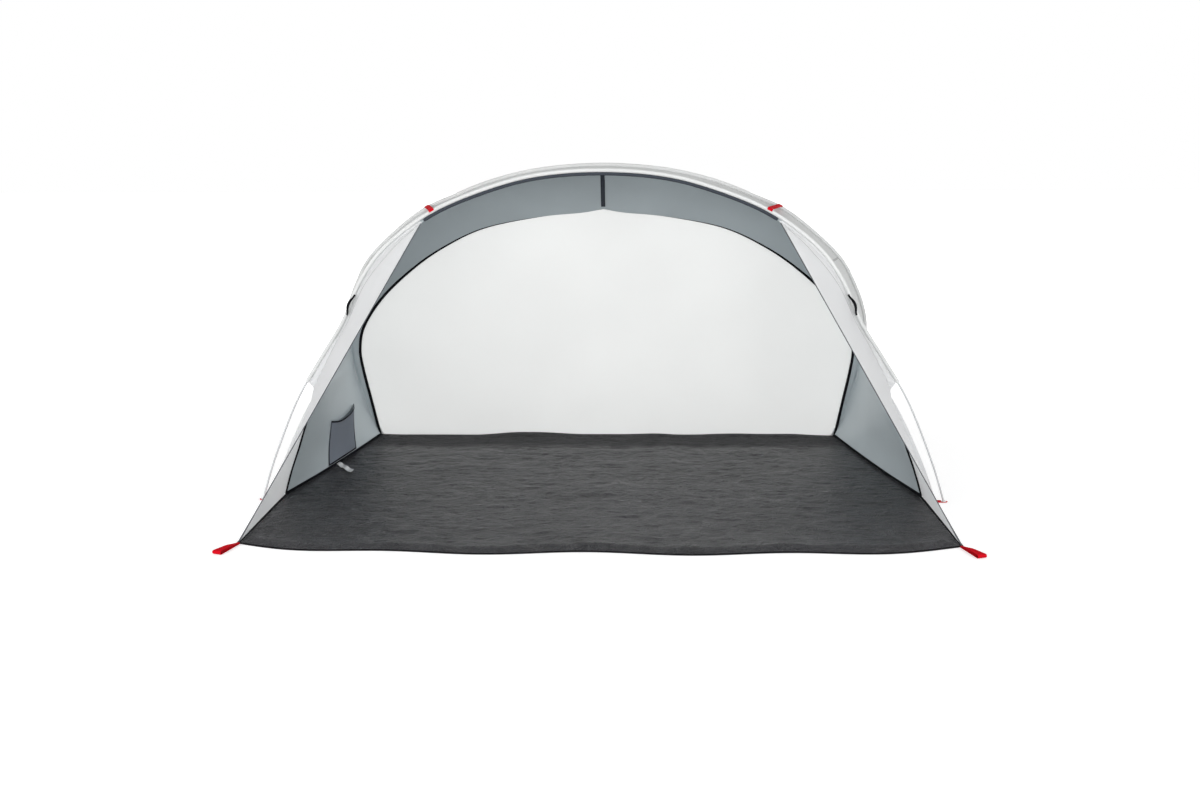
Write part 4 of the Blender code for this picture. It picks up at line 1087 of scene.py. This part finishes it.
def wing_grid():
    """The right wing, from its piping to the sleeve or the flange's edge, and its front edge's ends."""
    rear, seam = flange_line(), seam_line()
    corner = np.array([FLOOR_WIDTH / 2 - BINDING_WIDTH / 2, FRONT_EDGE + BINDING_WIDTH / 2, WALL_BASE])
    top = at_x(rear, WING_TOP_WIDTH / 2)
    heights = np.concatenate([
        np.linspace(WALL_BASE, 0.396, 37), np.linspace(0.400, FRONT_SLEEVE_END_HEIGHT, 6),
        np.linspace(0.418, top[2] - STRAP_WIDTH / 2, 46),
    ])
    rows = []
    for height in heights:
        share = (height - WALL_BASE) / (top[2] - WALL_BASE)
        near = corner + share * (top - corner)
        middle, far = at_height(seam, height), at_height(rear, height)
        near = near + unit(middle - near) * (WING_PIPING_DIAMETER + 2 * GAP)
        way = unit(np.array([middle[1] - near[1], near[0] - middle[0], 0.0]))
        row = sagged(near, middle, np.linspace(0, 1, 22), WING_BULGE * 4 * share * (1 - share), way)
        rows.append(np.vstack([row, middle + (far - middle) * np.linspace(0, 1, 6)[1:, None]]))
    return np.array(rows), corner, top


def add_wings(sizes):
    rows, corner, top = wing_grid()
    heights, over = rows[:, :1, 2], np.linspace(0, 1, rows.shape[1])
    pull = np.exp(-(((heights - FRONT_SLEEVE_END_HEIGHT) / 0.07) ** 2)) * np.clip((over - 0.55) / 0.2, 0, 1)
    wrinkles = 1.8 * sizes.slack * np.sin((heights + 0.10 * over) * 2 * np.pi / WRINKLE_LENGTH) * pull
    way, shares = unit(top - corner), np.linspace(0, 1, 60)
    start = corner + way * WING_PIPING_DIAMETER
    path = start + shares[:, None] * (top - way * STRAP_WIDTH - start)
    radii = WING_EDGE_RADIUS * (1 + 0.7 * np.clip(1 - shares / 0.09, 0, 1))
    for word, side in SIDES:
        grid = waved(rows * (side, 1, 1), sizes.slack * 0.8, 60 + side, 7.0)
        grid = grid + grid_normals(grid, HEART) * wrinkles[:, :, None]
        piece = cloth(f"wing_cloth_{word}", grid, [finish("wing")], sizes.cloth)
        settle(piece, "tent", "wing_cloth", f"wing_{word}")
        edge = rod(f"wing_edge_{word}", path * (side, 1, 1), FRONT_NORMAL, radii, finish("piping"), 10)
        settle(edge, "tent", "grey_piping", f"wing_piping_{word}")
        # The channel seam wears the darkened seam finish: painted shade along the stitch line
        seam = rod(f"wing_seam_{word}", channel_seam(grid), FRONT_NORMAL, WING_SEAM_RADIUS, finish("seam"), 8)
        settle(seam, "tent", "white_cloth")
        declare(grid)


def channel_seam(grid):
    """The line of stitches that closes the sleeve's channel, down the wing beside the sleeve."""
    path = []
    for row in grid:
        inset, run = np.interp(row[-1, 2], *zip(*CHANNEL_INSETS)), along(row)
        if row[-1, 2] > FRONT_SLEEVE_END_HEIGHT and run[-1] > inset + WING_SEAM_RADIUS * 4:
            path.append(at_distance(row, run[-1] - inset))
    return np.array(path) - FRONT_NORMAL * WING_SEAM_RADIUS * 0.6


def add_front_hem():
    moved = beside(FRONT_HALF, FRONT_NORMAL, SLEEVE_RADIUS + GAP + HEM_DIAMETER / 2)
    start = at_x(moved, WING_TOP_WIDTH / 2)
    half = np.vstack([start, moved[moved[:, 0] < start[0] - HEM_DIAMETER]])
    half[-1, 0] = 0.0
    made = rod("front_hem_tape", mirrored(half), FRONT_NORMAL, HEM_RADIUS, finish("hem"))
    settle(made, "tent", "black_tape", "front_hem")


def label_ends():
    root_y = FRONT_EDGE + LABEL_ROOT_SETBACK
    root = np.array([LABEL_ROOT_MARGIN - floor_half_width(root_y), root_y])
    return root, root + (LABEL_REACH, -np.sqrt(LABEL_LENGTH**2 - LABEL_REACH**2))


def foot_tapes():
    """The tape that covers the seam between each side wall and the floor, on the inside."""
    rows = canopy_rows(np.linspace(0, 0.02, 5))
    up = unit(rows[4] - rows[0])
    inwards = np.cross(tangents(rows[0]), up)
    inwards *= np.where(inwards[:, :1] > 0, -1, 1)
    path = rows[0] + up * (FOOT_TAPE_HEIGHT / 2) + inwards * FABRIC
    return [
        ribbon(
            "foot_tape", path * (side, 1, 1), up * (side, 1, 1), FOOT_TAPE_HEIGHT, THIN_TAPE, finish("tape"),
        )
        for _, side in SIDES
    ]


def edge_tape():
    """The tape that is folded round the groundsheet's edge."""
    across = np.linspace(-1, 1, 181) * FLOOR_WIDTH / 2
    right = [(FLOOR_WIDTH / 2, FRONT_EDGE), (FLOOR_WIDTH / 2, WALL_FOOT_Y), (FLOOR_REAR_WIDTH / 2, REAR_EDGE)]
    corners = np.array(right + [(-x, y) for x, y in right[::-1]])
    shares = np.linspace(0, 1, 24)[:-1, None]
    sides = [start + shares * (end - start) for start, end in zip(corners, corners[1:])]
    outline = np.vstack([np.stack([across, front_edge_y(across)], -1)[:-1], *sides])
    steps = (outline - np.roll(outline, 1, 0), np.roll(outline, -1, 0) - outline)
    before, after = (unit(step)[:, ::-1] * (-1, 1) for step in steps)
    middle = before + after
    middle /= np.sum(middle * before, axis=1)[:, None]
    section = tape_section(BINDING_WIDTH, BINDING_HEIGHT) + (BINDING_WIDTH / 2, BINDING_HEIGHT / 2)
    rings = [
        np.column_stack([place + section[:, :1] * inwards, section[:, 1]])
        for place, inwards in zip(outline, middle)
    ]
    return swept("floor_edge_tape", rings, finish("tape"), closed=True)


def floor_grid(sizes):
    """The groundsheet inside its tape, folded and crinkled, but flat under the care label."""
    shares, inset = np.linspace(-1, 1, 281), BINDING_WIDTH + GAP
    front = front_edge_y(shares * FLOOR_WIDTH / 2) + inset
    y = front + np.linspace(0, 1, 191)[:, None] * (REAR_EDGE - inset - front)
    x = shares * (floor_half_width(y) - inset)
    root, tip = label_ends()
    way = (tip - root) / LABEL_LENGTH
    run = np.clip((x - root[0]) * way[0] + (y - root[1]) * way[1], 0, LABEL_LENGTH)
    away = np.hypot(x - root[0] - run * way[0], y - root[1] - run * way[1])
    under_label = np.exp(-(np.clip(away - LABEL_WIDTH * 0.6, 0, None) / 0.05) ** 2)
    bend = 0.5 * layered_noise(x * 2 + 9, y * 2 + 9, 5)
    folds = layered_noise(x * 1.6 + 5, (y + bend) * 7 + 7, 7, 2)
    fine = layered_noise(x * 17 + 50, (y + bend * 0.2) * 27 + 50, 9, 3)
    ripple = layered_noise(x * 11 + 3, (y - front) * 9 + bend, 15, 2) * np.exp(-((y - front) / 0.07) ** 2)
    height = sizes.fold * (np.clip(folds - 0.35, 0, 1) ** 1.3 + 1.6 * ripple)
    height = height + sizes.crinkle * (1 - np.abs(2 * fine - 1))
    height = height * edge_fade(*y.shape, 0.025) * (1 - under_label)
    rear = np.clip(1 - (REAR_EDGE - inset - y) / 0.05, 0, 1)
    lift = layered_noise(x * 3 + 20, y * 0 + 4, 21, 2) ** 2 * rear
    return np.stack([x, y, FABRIC / 2 + height + REAR_LIFT * lift], -1)


def add_groundsheet(sizes):
    grid = floor_grid(sizes)
    piece = cloth("groundsheet_cloth", grid, [finish("floor")], 0.001, BELOW)
    settle(piece, "tent", "floor_cloth", "groundsheet")
    tape = joined("floor_edge_tape", [edge_tape(), *foot_tapes()])
    settle(tape, "tent", "black_tape", "floor_binding")
    declare(grid)


def strap_wrap(ring, out, normal, turns):
    """Points round a sleeve, at these turns from its outward side towards the back."""
    reach = SLEEVE_RADIUS + 2 * GAP + WEBBING / 2
    return [ring + reach * (np.cos(a) * out + np.sin(a) * normal) for a in np.radians(turns)]


def add_straps():
    ends = []
    for (_, half, normal), width in zip(POLES, (STRAP_FRONT_WIDTH, STRAP_REAR_WIDTH)):
        line = pole_line(half)
        out = at_x(np.column_stack([line[:, 0], outward(line, normal)]), width / 2)[1:]
        ends.append((at_x(line, width / 2), unit(out)))
    (front, front_out), (rear, rear_out) = ends
    reach = rear - front
    leaving = np.degrees(np.arctan2(-reach @ front_out, reach @ FRONT_NORMAL))
    landing = np.degrees(np.arctan2(-reach @ rear_out, reach @ REAR_NORMAL))
    first = strap_wrap(front, front_out, FRONT_NORMAL, np.linspace(-90, leaving, 18))
    last = strap_wrap(rear, rear_out, REAR_NORMAL, np.linspace(landing, landing + 30, 6))
    shares = np.linspace(0, 1, 26)[1:-1, None]
    path = np.vstack([first, first[-1] + shares * (last[0] - first[-1]), last])
    turn = np.vstack([np.zeros((len(first), 1)), shares, np.ones((len(last), 1))])
    across = np.cross(front_out, FRONT_NORMAL) * (1 - turn) + np.cross(rear_out, REAR_NORMAL) * turn
    for word, side in SIDES:
        name = f"canopy_strap_{word}"
        flip = (side, 1, 1)
        piece = ribbon(name, path * flip, across * flip, STRAP_WIDTH, WEBBING, finish("webbing"))
        settle(piece, "tent", "red_webbing", f"roof_strap_{word}")


def loop_corner(side, front):
    """A corner of the groundsheet, with the ways along its front or rear edge and straight out."""
    if front:
        corner = np.array([side * FLOOR_WIDTH / 2, FRONT_EDGE])
        x = side * (FLOOR_WIDTH / 2 - FLOOR_WIDTH / 26)
        neighbour = np.array([x, front_edge_y(x)])
    else:
        corner = np.array([side * FLOOR_REAR_WIDTH / 2, REAR_EDGE])
        neighbour = corner * (-1, 1)
    inwards = unit(neighbour - corner)
    out = inwards[::-1] * (-1, 1)
    return corner, inwards, out * np.sign(out[1] * corner[1])


def peg_loop_profile():
    """A peg loop from its root out to its end and back, as (reach, height) points."""
    bend = PEG_LOOP_HEIGHT / 2
    straight = PEG_LOOP_LENGTH - bend
    turn = np.linspace(-np.pi / 2, np.pi / 2, 12)
    shares = np.linspace(0.05, 1, 14)
    fall = np.clip((shares - 0.45) / 0.55, 0, 1)
    heights = PEG_LOOP_HEIGHT - WEBBING / 2 * np.clip(shares / 0.5, 0, 1)
    heights = heights - (PEG_LOOP_TOP - PEG_LOOP_ROOT) * fall * fall * (3 - 2 * fall)
    return np.vstack([
        np.stack([np.linspace(0, 0.95, 12) * straight, np.zeros(12)], -1),
        np.stack([straight + bend * np.cos(turn), bend + bend * np.sin(turn)], -1),
        np.stack([straight * (1 - shares), heights], -1),
    ]) + (0.0, WEBBING / 2 + GAP)


def add_peg_loops(sizes):
    profile = peg_loop_profile()
    growth = PEG_LOOP_END_WIDTH - PEG_LOOP_ROOT_WIDTH
    widths = PEG_LOOP_ROOT_WIDTH + growth * profile[:, 0] / PEG_LOOP_LENGTH
    spread = PEG_LOOP_SPREAD / PEG_LOOP_LENGTH
    for word, side in SIDES:
        for end in ("front", "rear"):
            corner, inwards, out = loop_corner(side, end == "front")
            way = np.array([side * spread, np.sign(corner[1]) * np.sqrt(1 - spread**2)])
            across = np.array([-way[1], way[0], 0.0])
            lead = abs(across[:2] @ out) * PEG_LOOP_ROOT_WIDTH / 2 + GAP
            root = corner + inwards * PEG_LOOP_ROOT_WIDTH + out * lead
            path = np.column_stack([root + way * profile[:, :1], profile[:, 1]])
            body = f"{end}_peg_loop_{word}"
            piece = ribbon(f"{end}_peg_webbing_{word}", path, across, widths, WEBBING, finish("webbing"))
            settle(piece, body, "red_webbing", body)
            rows = []
            for number, reach in enumerate(TACK_REACHES):
                height = np.interp(reach, [0.0, TACK_RISE_REACH], [PEG_LOOP_ROOT, PEG_LOOP_TOP])
                height = height + WEBBING + GAP + THREAD_LIFT
                middle, name = np.array([*(root + way * reach), height]), f"{body}_row_{number}"
                line = middle + np.linspace(-1, 1, 5)[:, None] * across * TACK_HALF_WIDTH
                rows.append(stitches(name, line, UP, finish("red_thread"), sizes.stitch * 0.6))
            settle(joined(f"{end}_peg_bar_tack_{word}", rows), body, "red_webbing")


def foot_tab(centre, root_x):
    """A foot tab on the right, from under the floor's edge to its round end, with a hole for the eyelet."""
    low, high, trim, half_width = GAP, GAP + WEBBING, TAB_BEVEL, FOOT_TAB_WIDTH / 2
    turn = np.linspace(-np.pi / 2, np.pi / 2, 25)
    run = np.linspace(centre[0], root_x, 6)[1:]
    outer = np.vstack([
        centre + half_width * np.stack([np.cos(turn), np.sin(turn)], -1),
        [(x, centre[1] + half_width) for x in run], [(x, centre[1] - half_width) for x in run[::-1]],
    ])
    inner = centre + unit(outer - centre) * (EYELET_BORE / 2 + EYELET_SEAT)
    step = unit(inner - outer) * trim
    rings = (
        (outer, low + trim), (outer, high - trim), (outer + step, high), (inner - step, high),
        (inner, high - trim), (inner, low + trim), (inner - step, low), (outer + step, low),
    )
    return np.stack([np.column_stack([ring, np.full(len(ring), z)]) for ring, z in rings], 1)


def eyelet():
    """An eyelet turned about an upright axis, with a domed rim on the tab."""
    bore, low, under, reach = EYELET_BORE / 2, GAP, 2 * GAP + WEBBING, EYELET_RIM_WIDTH / 2
    dome = [(bore + reach + reach * np.cos(a), under + 0.0012 * np.sin(a)) for a in np.linspace(0, np.pi, 9)]
    r, z = np.array(dome + [(bore, low), (bore + 0.001, low), (bore + 0.001, under)]).T
    return np.array([
        np.stack([r * np.cos(a), r * np.sin(a), z], -1) for a in np.linspace(0, 2 * np.pi, 48, endpoint=False)
    ])


def add_feet():
    """The red tabs at the poles' feet, with their eyelets."""
    rear_root = FLOOR_REAR_WIDTH / 2 + FLOOR_TAPER * FOOT_TAB_WIDTH / 2 + GAP
    for (end, half, _), root_x in zip(POLES, (FLOOR_WIDTH / 2 + GAP, rear_root)):
        centre = at_height(extended(half, POLE_DIAMETER), WEBBING)[:2]
        for word, side in SIDES:
            tab = foot_tab(centre, root_x) * (side, 1, 1)
            piece = swept(f"{end}_foot_webbing_{word}", tab, finish("webbing"), closed=True)
            settle(piece, "tent", "red_webbing", f"{end}_foot_{word}_tab")
            rings = eyelet() + (centre[0] * side, centre[1], 0.0)
            piece = swept(f"{end}_foot_ring_{word}", rings, finish("steel"), closed=True)
            settle(piece, "tent", "steel", f"{end}_foot_{word}_eyelet")


def add_guy_loops():
    """Black webbing sewn flat to the front of the front sleeve, bowed forwards between its ends."""
    run = along(FRONT_HALF)
    shares = np.linspace(0, 1, 41)
    lift = np.interp(shares, np.linspace(0, 1, len(GUY_LIFT_SHARES)), GUY_LIFT_SHARES)
    lift = np.convolve(np.pad(lift, 3, mode="edge"), np.ones(7) / 7, mode="valid")
    runs = float(np.interp(GUY_LOOP_HEIGHT, FRONT_HALF[:, 2], run)) + (shares - 0.5) * GUY_LOOP_LENGTH
    across = between(runs, run, outward(FRONT_HALF, FRONT_NORMAL))
    forwards = SLEEVE_RADIUS + GAP + WEBBING / 2 + GUY_LOOP_RISE * lift
    path = at_distance(FRONT_HALF, runs) - FRONT_NORMAL * forwards[:, None]
    path = path + across * (GUY_LOOP_BOW * (lift - 0.5))[:, None]
    widths = GUY_END_WIDTH + (GUY_LOOP_WIDTH - GUY_END_WIDTH) * lift
    for word, side in SIDES:
        name = f"guy_webbing_{word}"
        piece = ribbon(name, path * (side, 1, 1), across * (side, 1, 1), widths, WEBBING, finish("black"))
        settle(piece, "tent", "black_tape", f"guy_loop_{word}")


def wall_points(setbacks, heights):
    """Points of the left wall's middle surface, and its inward normals, at grids of setbacks and heights."""
    rows = canopy_rows(np.linspace(0, SHOULDER_SEAM_SHARE, 60))[:, :FRONT_COLUMNS + 1]
    steps = np.linspace(setbacks.min(), setbacks.max(), 40)
    columns = np.array([[between(step, row[:, 1] - FRONT_EDGE, row) for row in rows] for step in steps])
    points = np.empty((*heights.shape, 3))
    for place in np.ndindex(heights.shape):
        share = np.interp(setbacks[place], steps, np.arange(len(steps)))
        first = min(int(share), len(steps) - 2)
        column = columns[first] + (columns[first + 1] - columns[first]) * (share - first)
        points[place] = at_height(column, heights[place])
    normals = unit(np.cross(np.gradient(points, axis=0), np.gradient(points, axis=1)))
    normals *= np.where(normals[:, :, :1] > 0, -1, 1)
    return points * (-1, 1, 1), normals * (-1, 1, 1)


def add_pocket():
    start, low = WALL_FOOT_SETBACK + POCKET_FRONT_SETBACK, POCKET_BASE_HEIGHT + POCKET_RAISED
    across = np.linspace(-1, 1, 37)
    mouth = low + POCKET_HEIGHT + POCKET_RAISED - POCKET_MOUTH_SAG * (1 - across**2)
    climb = np.linspace(0, 1, 25)[:, None]
    heights = low + (mouth - low) * climb
    flare = np.where(across < 0, POCKET_FRONT_FLARE, POCKET_REAR_FLARE) * across
    points, normals = wall_points(start + (across + 1) / 2 * POCKET_WIDTH + flare * climb, heights)
    up = (heights - low) / POCKET_HEIGHT
    stand = FABRIC + 2 * GAP + POCKET_DEPTH * up**2 * (1 - across**4)
    grid = points + normals * stand[:, :, None]
    piece = cloth("pocket_cloth", grid, [finish("pocket")], 0.0010, POCKET_HEART)
    settle(piece, "tent", "pocket_cloth", "pocket")
    over = points + normals * (stand + 0.0010)[:, :, None]
    edges, out = (
        np.vstack([side[-1], side[-2::-1, -1], side[0, -2::-1], side[1:-1, 0]]) for side in (over, normals)
    )
    inwards = np.cross(tangents(edges), out)
    towards = np.sum(inwards * (grid.reshape(-1, 3).mean(0) - edges), axis=1)
    inwards *= np.where(towards < 0, -1, 1)[:, None]
    trim = ribbon(
        "pocket_edge_tape", edges + inwards * POCKET_EDGE_WIDTH / 2, inwards, POCKET_EDGE_WIDTH, 0.0009,
        finish("tape"), closed=True,
    )
    settle(trim, "tent", "black_tape", "pocket_trim")
    declare(grid)


def add_label(sizes):
    root, tip = label_ends()
    shares = np.linspace(LABEL_SEWN_SHARE, 1, 40)
    flat = root - (LABEL_TUCK, 0.0) + shares[:, None] * (tip - root)
    waves = 0.5 - 0.5 * np.cos(shares * 2 * np.pi * LABEL_WAVES)
    lift = sizes.label_curl * (shares**3 + waves * np.clip(shares * 4, 0, 1))
    path = np.column_stack([flat, LABEL_LEVEL + LABEL_ROOT_RISE * np.clip(1 - shares * 8, 0, 1) + lift])
    sides = np.linspace(-0.5, 0.5, 9)
    grid = path[:, None, :] + sides[None, :, None] * LABEL_WIDTH * unit(np.array([FLOOR_TAPER, 1.0, 0.0]))
    grid[:, :, 2] += 0.0008 * (np.abs(sides) * 2) ** 2 * shares[:, None]
    piece = cloth("care_label_cloth", grid, [finish("label")], 0.0006, BELOW)
    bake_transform(piece)
    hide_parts("care_label")
    declare(grid)


# Stage


def direct_ray(tree):
    """1 for rays from the camera and those that metal and glass mirror."""
    rays = node(tree, "ShaderNodeLightPath").outputs
    first = math_node(tree, "MAXIMUM", rays["Is Camera Ray"], rays["Is Glossy Ray"])
    return math_node(tree, "MAXIMUM", first, rays["Is Transmission Ray"])


def world_light(strength):
    world = bpy.data.worlds.new("studio_light")
    bpy.context.scene.world = world
    world.use_nodes = True
    tree = world.node_tree
    tree.nodes.clear()
    node(tree, "ShaderNodeOutputWorld")
    lit, seen = (
        node(tree, "ShaderNodeBackground", Color=(1, 1, 1, 1), Strength=level) for level in (strength, 1.0)
    )
    mixed_surface(tree, direct_ray(tree), lit, seen)


def placed(data, place, axes):
    """A lamp or a camera at this place, with these x, y and z axes."""
    made = bpy.data.objects.new(data.name, data)
    made.matrix_world = Matrix([*np.column_stack([*axes, place]).tolist(), (0.0, 0.0, 0.0, 1.0)])
    bpy.context.scene.collection.objects.link(made)
    return made


def area_lamp(name, place, aim, size, lamp_power):
    lamp = bpy.data.lights.new(name, "AREA")
    lamp.shape = "RECTANGLE"
    lamp.size, lamp.size_y = size
    lamp.energy = lamp_power
    back = unit(np.array(place) - aim)
    right = unit(np.cross(UP, back))
    placed(lamp, place, (right, np.cross(back, right), back))


def add_studio_floor():
    """A pale floor that keeps the tent's shadow and fades to white away from it."""
    made, tree, shader, place = finish_nodes(
        "studio_white", 0.9, **{"Base Color": (0.80, 0.80, 0.80, 1.0), "Specular IOR Level": 0.1},
    )
    away = node(tree, "ShaderNodeVectorMath", {0: place["Object"]}, operation="LENGTH").outputs["Value"]
    reach = node(
        tree, "ShaderNodeMapRange", {"Value": away}, interpolation_type="SMOOTHSTEP",
        **{"From Min": FLOOR_WHITE_REACH[0], "From Max": FLOOR_WHITE_REACH[1]},
    )
    white = ramp_output(tree, reach.outputs["Result"], (0.42, 0.42, 0.42), (1.0, 1.0, 1.0))
    glow = node(tree, "ShaderNodeEmission", {"Color": white}, Strength=1.0)
    both = node(tree, "ShaderNodeAddShader", {0: shader.outputs[0], 1: glow.outputs[0]})
    mixed_surface(tree, direct_ray(tree), shader, both)
    ways = ((-1, -1), (1, -1), (1, 1), (-1, 1))
    corners = [(x * FLOOR_REACH, y * FLOOR_REACH, FLOOR_LEVEL) for x, y in ways]
    build("studio_floor", corners, [(0, 1, 2, 3)], [made])


def add_camera():
    """A camera that stands, looks and zooms as the one that took the photograph."""
    yaw, pitch, roll = np.radians(CAMERA_TURN)
    forward = np.array([np.sin(yaw) * np.cos(pitch), np.cos(yaw) * np.cos(pitch), -np.sin(pitch)])
    right = np.array([np.cos(yaw), -np.sin(yaw), 0.0])
    up = np.cross(right, forward)
    right, up = np.cos(roll) * right + np.sin(roll) * up, np.cos(roll) * up - np.sin(roll) * right
    data = bpy.data.cameras.new("photo_camera")
    data.sensor_width = 36.0
    data.lens = CAMERA_LENS_SHARE * data.sensor_width
    bpy.context.scene.camera = placed(data, CAMERA_PLACE, (right, up, -forward))


def add_stage(stage):
    bpy.context.scene.view_settings.view_transform = "Standard"
    world_light(stage.sky)
    area_lamp("key_lamp", (-0.6, -6.5, 1.7), (0.0, 0.0, 0.5), (7.0, 2.8), stage.key_power)
    area_lamp("back_lamp", (0.0, 4.8, 1.4), (0.0, 0.6, 0.4), (5.0, 2.5), stage.back_power)
    for word, side in SIDES:
        place, aim = (4.6 * side, -4.2, 2.0), (0.2 * side, 0.0, 0.4)
        area_lamp(f"{word}_lamp", place, aim, (3.0, 2.0), stage.side_power)
    add_studio_floor()
    add_camera()


# Operators


class TENT_OT_poles(bpy.types.Operator):
    """Adds the twelve fibreglass tubes and the ferrules' finish"""

    bl_idname = "beach_tent.poles"
    bl_label = "Poles"

    def execute(self, context):
        add_poles()
        return {"FINISHED"}


class TENT_OT_sleeves(bpy.types.Operator):
    """Adds the cloth sleeves that the poles run through"""

    bl_idname = "beach_tent.sleeves"
    bl_label = "Sleeves"

    def execute(self, context):
        add_sleeves(context.scene.tent_sizes)
        return {"FINISHED"}


class TENT_OT_groundsheet(bpy.types.Operator):
    """Adds the crinkled groundsheet and the tape round it"""

    bl_idname = "beach_tent.groundsheet"
    bl_label = "Groundsheet"

    def execute(self, context):
        add_groundsheet(context.scene.tent_sizes)
        return {"FINISHED"}


class TENT_OT_canopy(bpy.types.Operator):
    """Adds the roof and side panels with their seams and tapes"""

    bl_idname = "beach_tent.canopy"
    bl_label = "Canopy"

    def execute(self, context):
        add_roof(context.scene.tent_sizes)
        add_side_walls(context.scene.tent_sizes)
        return {"FINISHED"}


class TENT_OT_back_wall(bpy.types.Operator):
    """Adds the back wall and the black seam above it"""

    bl_idname = "beach_tent.back_wall"
    bl_label = "Back wall"

    def execute(self, context):
        add_back_wall(context.scene.tent_sizes)
        return {"FINISHED"}


class TENT_OT_wings(bpy.types.Operator):
    """Adds the wings beside the opening and the hem over it"""

    bl_idname = "beach_tent.wings"
    bl_label = "Wings and hem"

    def execute(self, context):
        add_wings(context.scene.tent_sizes)
        add_front_hem()
        return {"FINISHED"}


class TENT_OT_straps(bpy.types.Operator):
    """Adds the two red straps over the canopy"""

    bl_idname = "beach_tent.straps"
    bl_label = "Straps"

    def execute(self, context):
        add_straps()
        return {"FINISHED"}


class TENT_OT_peg_loops(bpy.types.Operator):
    """Adds the four peg loops with their bar tacks"""

    bl_idname = "beach_tent.peg_loops"
    bl_label = "Peg loops"

    def execute(self, context):
        add_peg_loops(context.scene.tent_sizes)
        return {"FINISHED"}


class TENT_OT_feet(bpy.types.Operator):
    """Adds the foot tabs and eyelets that the poles stand in"""

    bl_idname = "beach_tent.feet"
    bl_label = "Pole feet"

    def execute(self, context):
        add_feet()
        return {"FINISHED"}


class TENT_OT_guy_loops(bpy.types.Operator):
    """Adds the black guy loops on the front arch"""

    bl_idname = "beach_tent.guy_loops"
    bl_label = "Guy loops"

    def execute(self, context):
        add_guy_loops()
        return {"FINISHED"}


class TENT_OT_pocket(bpy.types.Operator):
    """Adds the pocket on the left wall and its trim"""

    bl_idname = "beach_tent.pocket"
    bl_label = "Pocket"

    def execute(self, context):
        add_pocket()
        return {"FINISHED"}


class TENT_OT_label(bpy.types.Operator):
    """Adds the blank care label on the floor"""

    bl_idname = "beach_tent.label"
    bl_label = "Care label"

    def execute(self, context):
        add_label(context.scene.tent_sizes)
        return {"FINISHED"}


class TENT_OT_stage(bpy.types.Operator):
    """Adds the pale floor, the lamps and the camera"""

    bl_idname = "beach_tent.stage"
    bl_label = "Stage"

    def execute(self, context):
        add_stage(context.scene.tent_stage)
        return {"FINISHED"}


OPERATORS = (
    TENT_OT_stage, TENT_OT_poles, TENT_OT_sleeves, TENT_OT_groundsheet, TENT_OT_canopy, TENT_OT_back_wall,
    TENT_OT_wings, TENT_OT_straps, TENT_OT_peg_loops, TENT_OT_feet, TENT_OT_guy_loops, TENT_OT_pocket,
    TENT_OT_label,
)
GROUPS = (("tent_colours", TentColours), ("tent_sizes", TentSizes), ("tent_stage", TentStage))


class TENT_PT_panel(bpy.types.Panel):
    """Lists the tent's colours, sizes and pieces"""

    bl_idname = "TENT_PT_panel"
    bl_label = "Beach Tent"
    bl_space_type = "VIEW_3D"
    bl_region_type = "UI"
    bl_category = "Beach Tent"

    def draw(self, context):
        for attribute, group in GROUPS:
            box = self.layout.box()
            for name in group.__annotations__:
                box.prop(getattr(context.scene, attribute), name)
        for kind in OPERATORS:
            self.layout.operator(kind.bl_idname)


def register():
    for attribute, group in GROUPS:
        bpy.utils.register_class(group)
        setattr(bpy.types.Scene, attribute, bpy.props.PointerProperty(type=group))
    for kind in (*OPERATORS, TENT_PT_panel):
        bpy.utils.register_class(kind)


def unregister():
    for kind in (TENT_PT_panel, *reversed(OPERATORS)):
        bpy.utils.unregister_class(kind)
    for attribute, group in reversed(GROUPS):
        delattr(bpy.types.Scene, attribute)
        bpy.utils.unregister_class(group)


def main():
    register()
    for kind in OPERATORS:
        getattr(bpy.ops.beach_tent, kind.bl_idname.split(".")[1])()


if __name__ == "__main__":
    main()
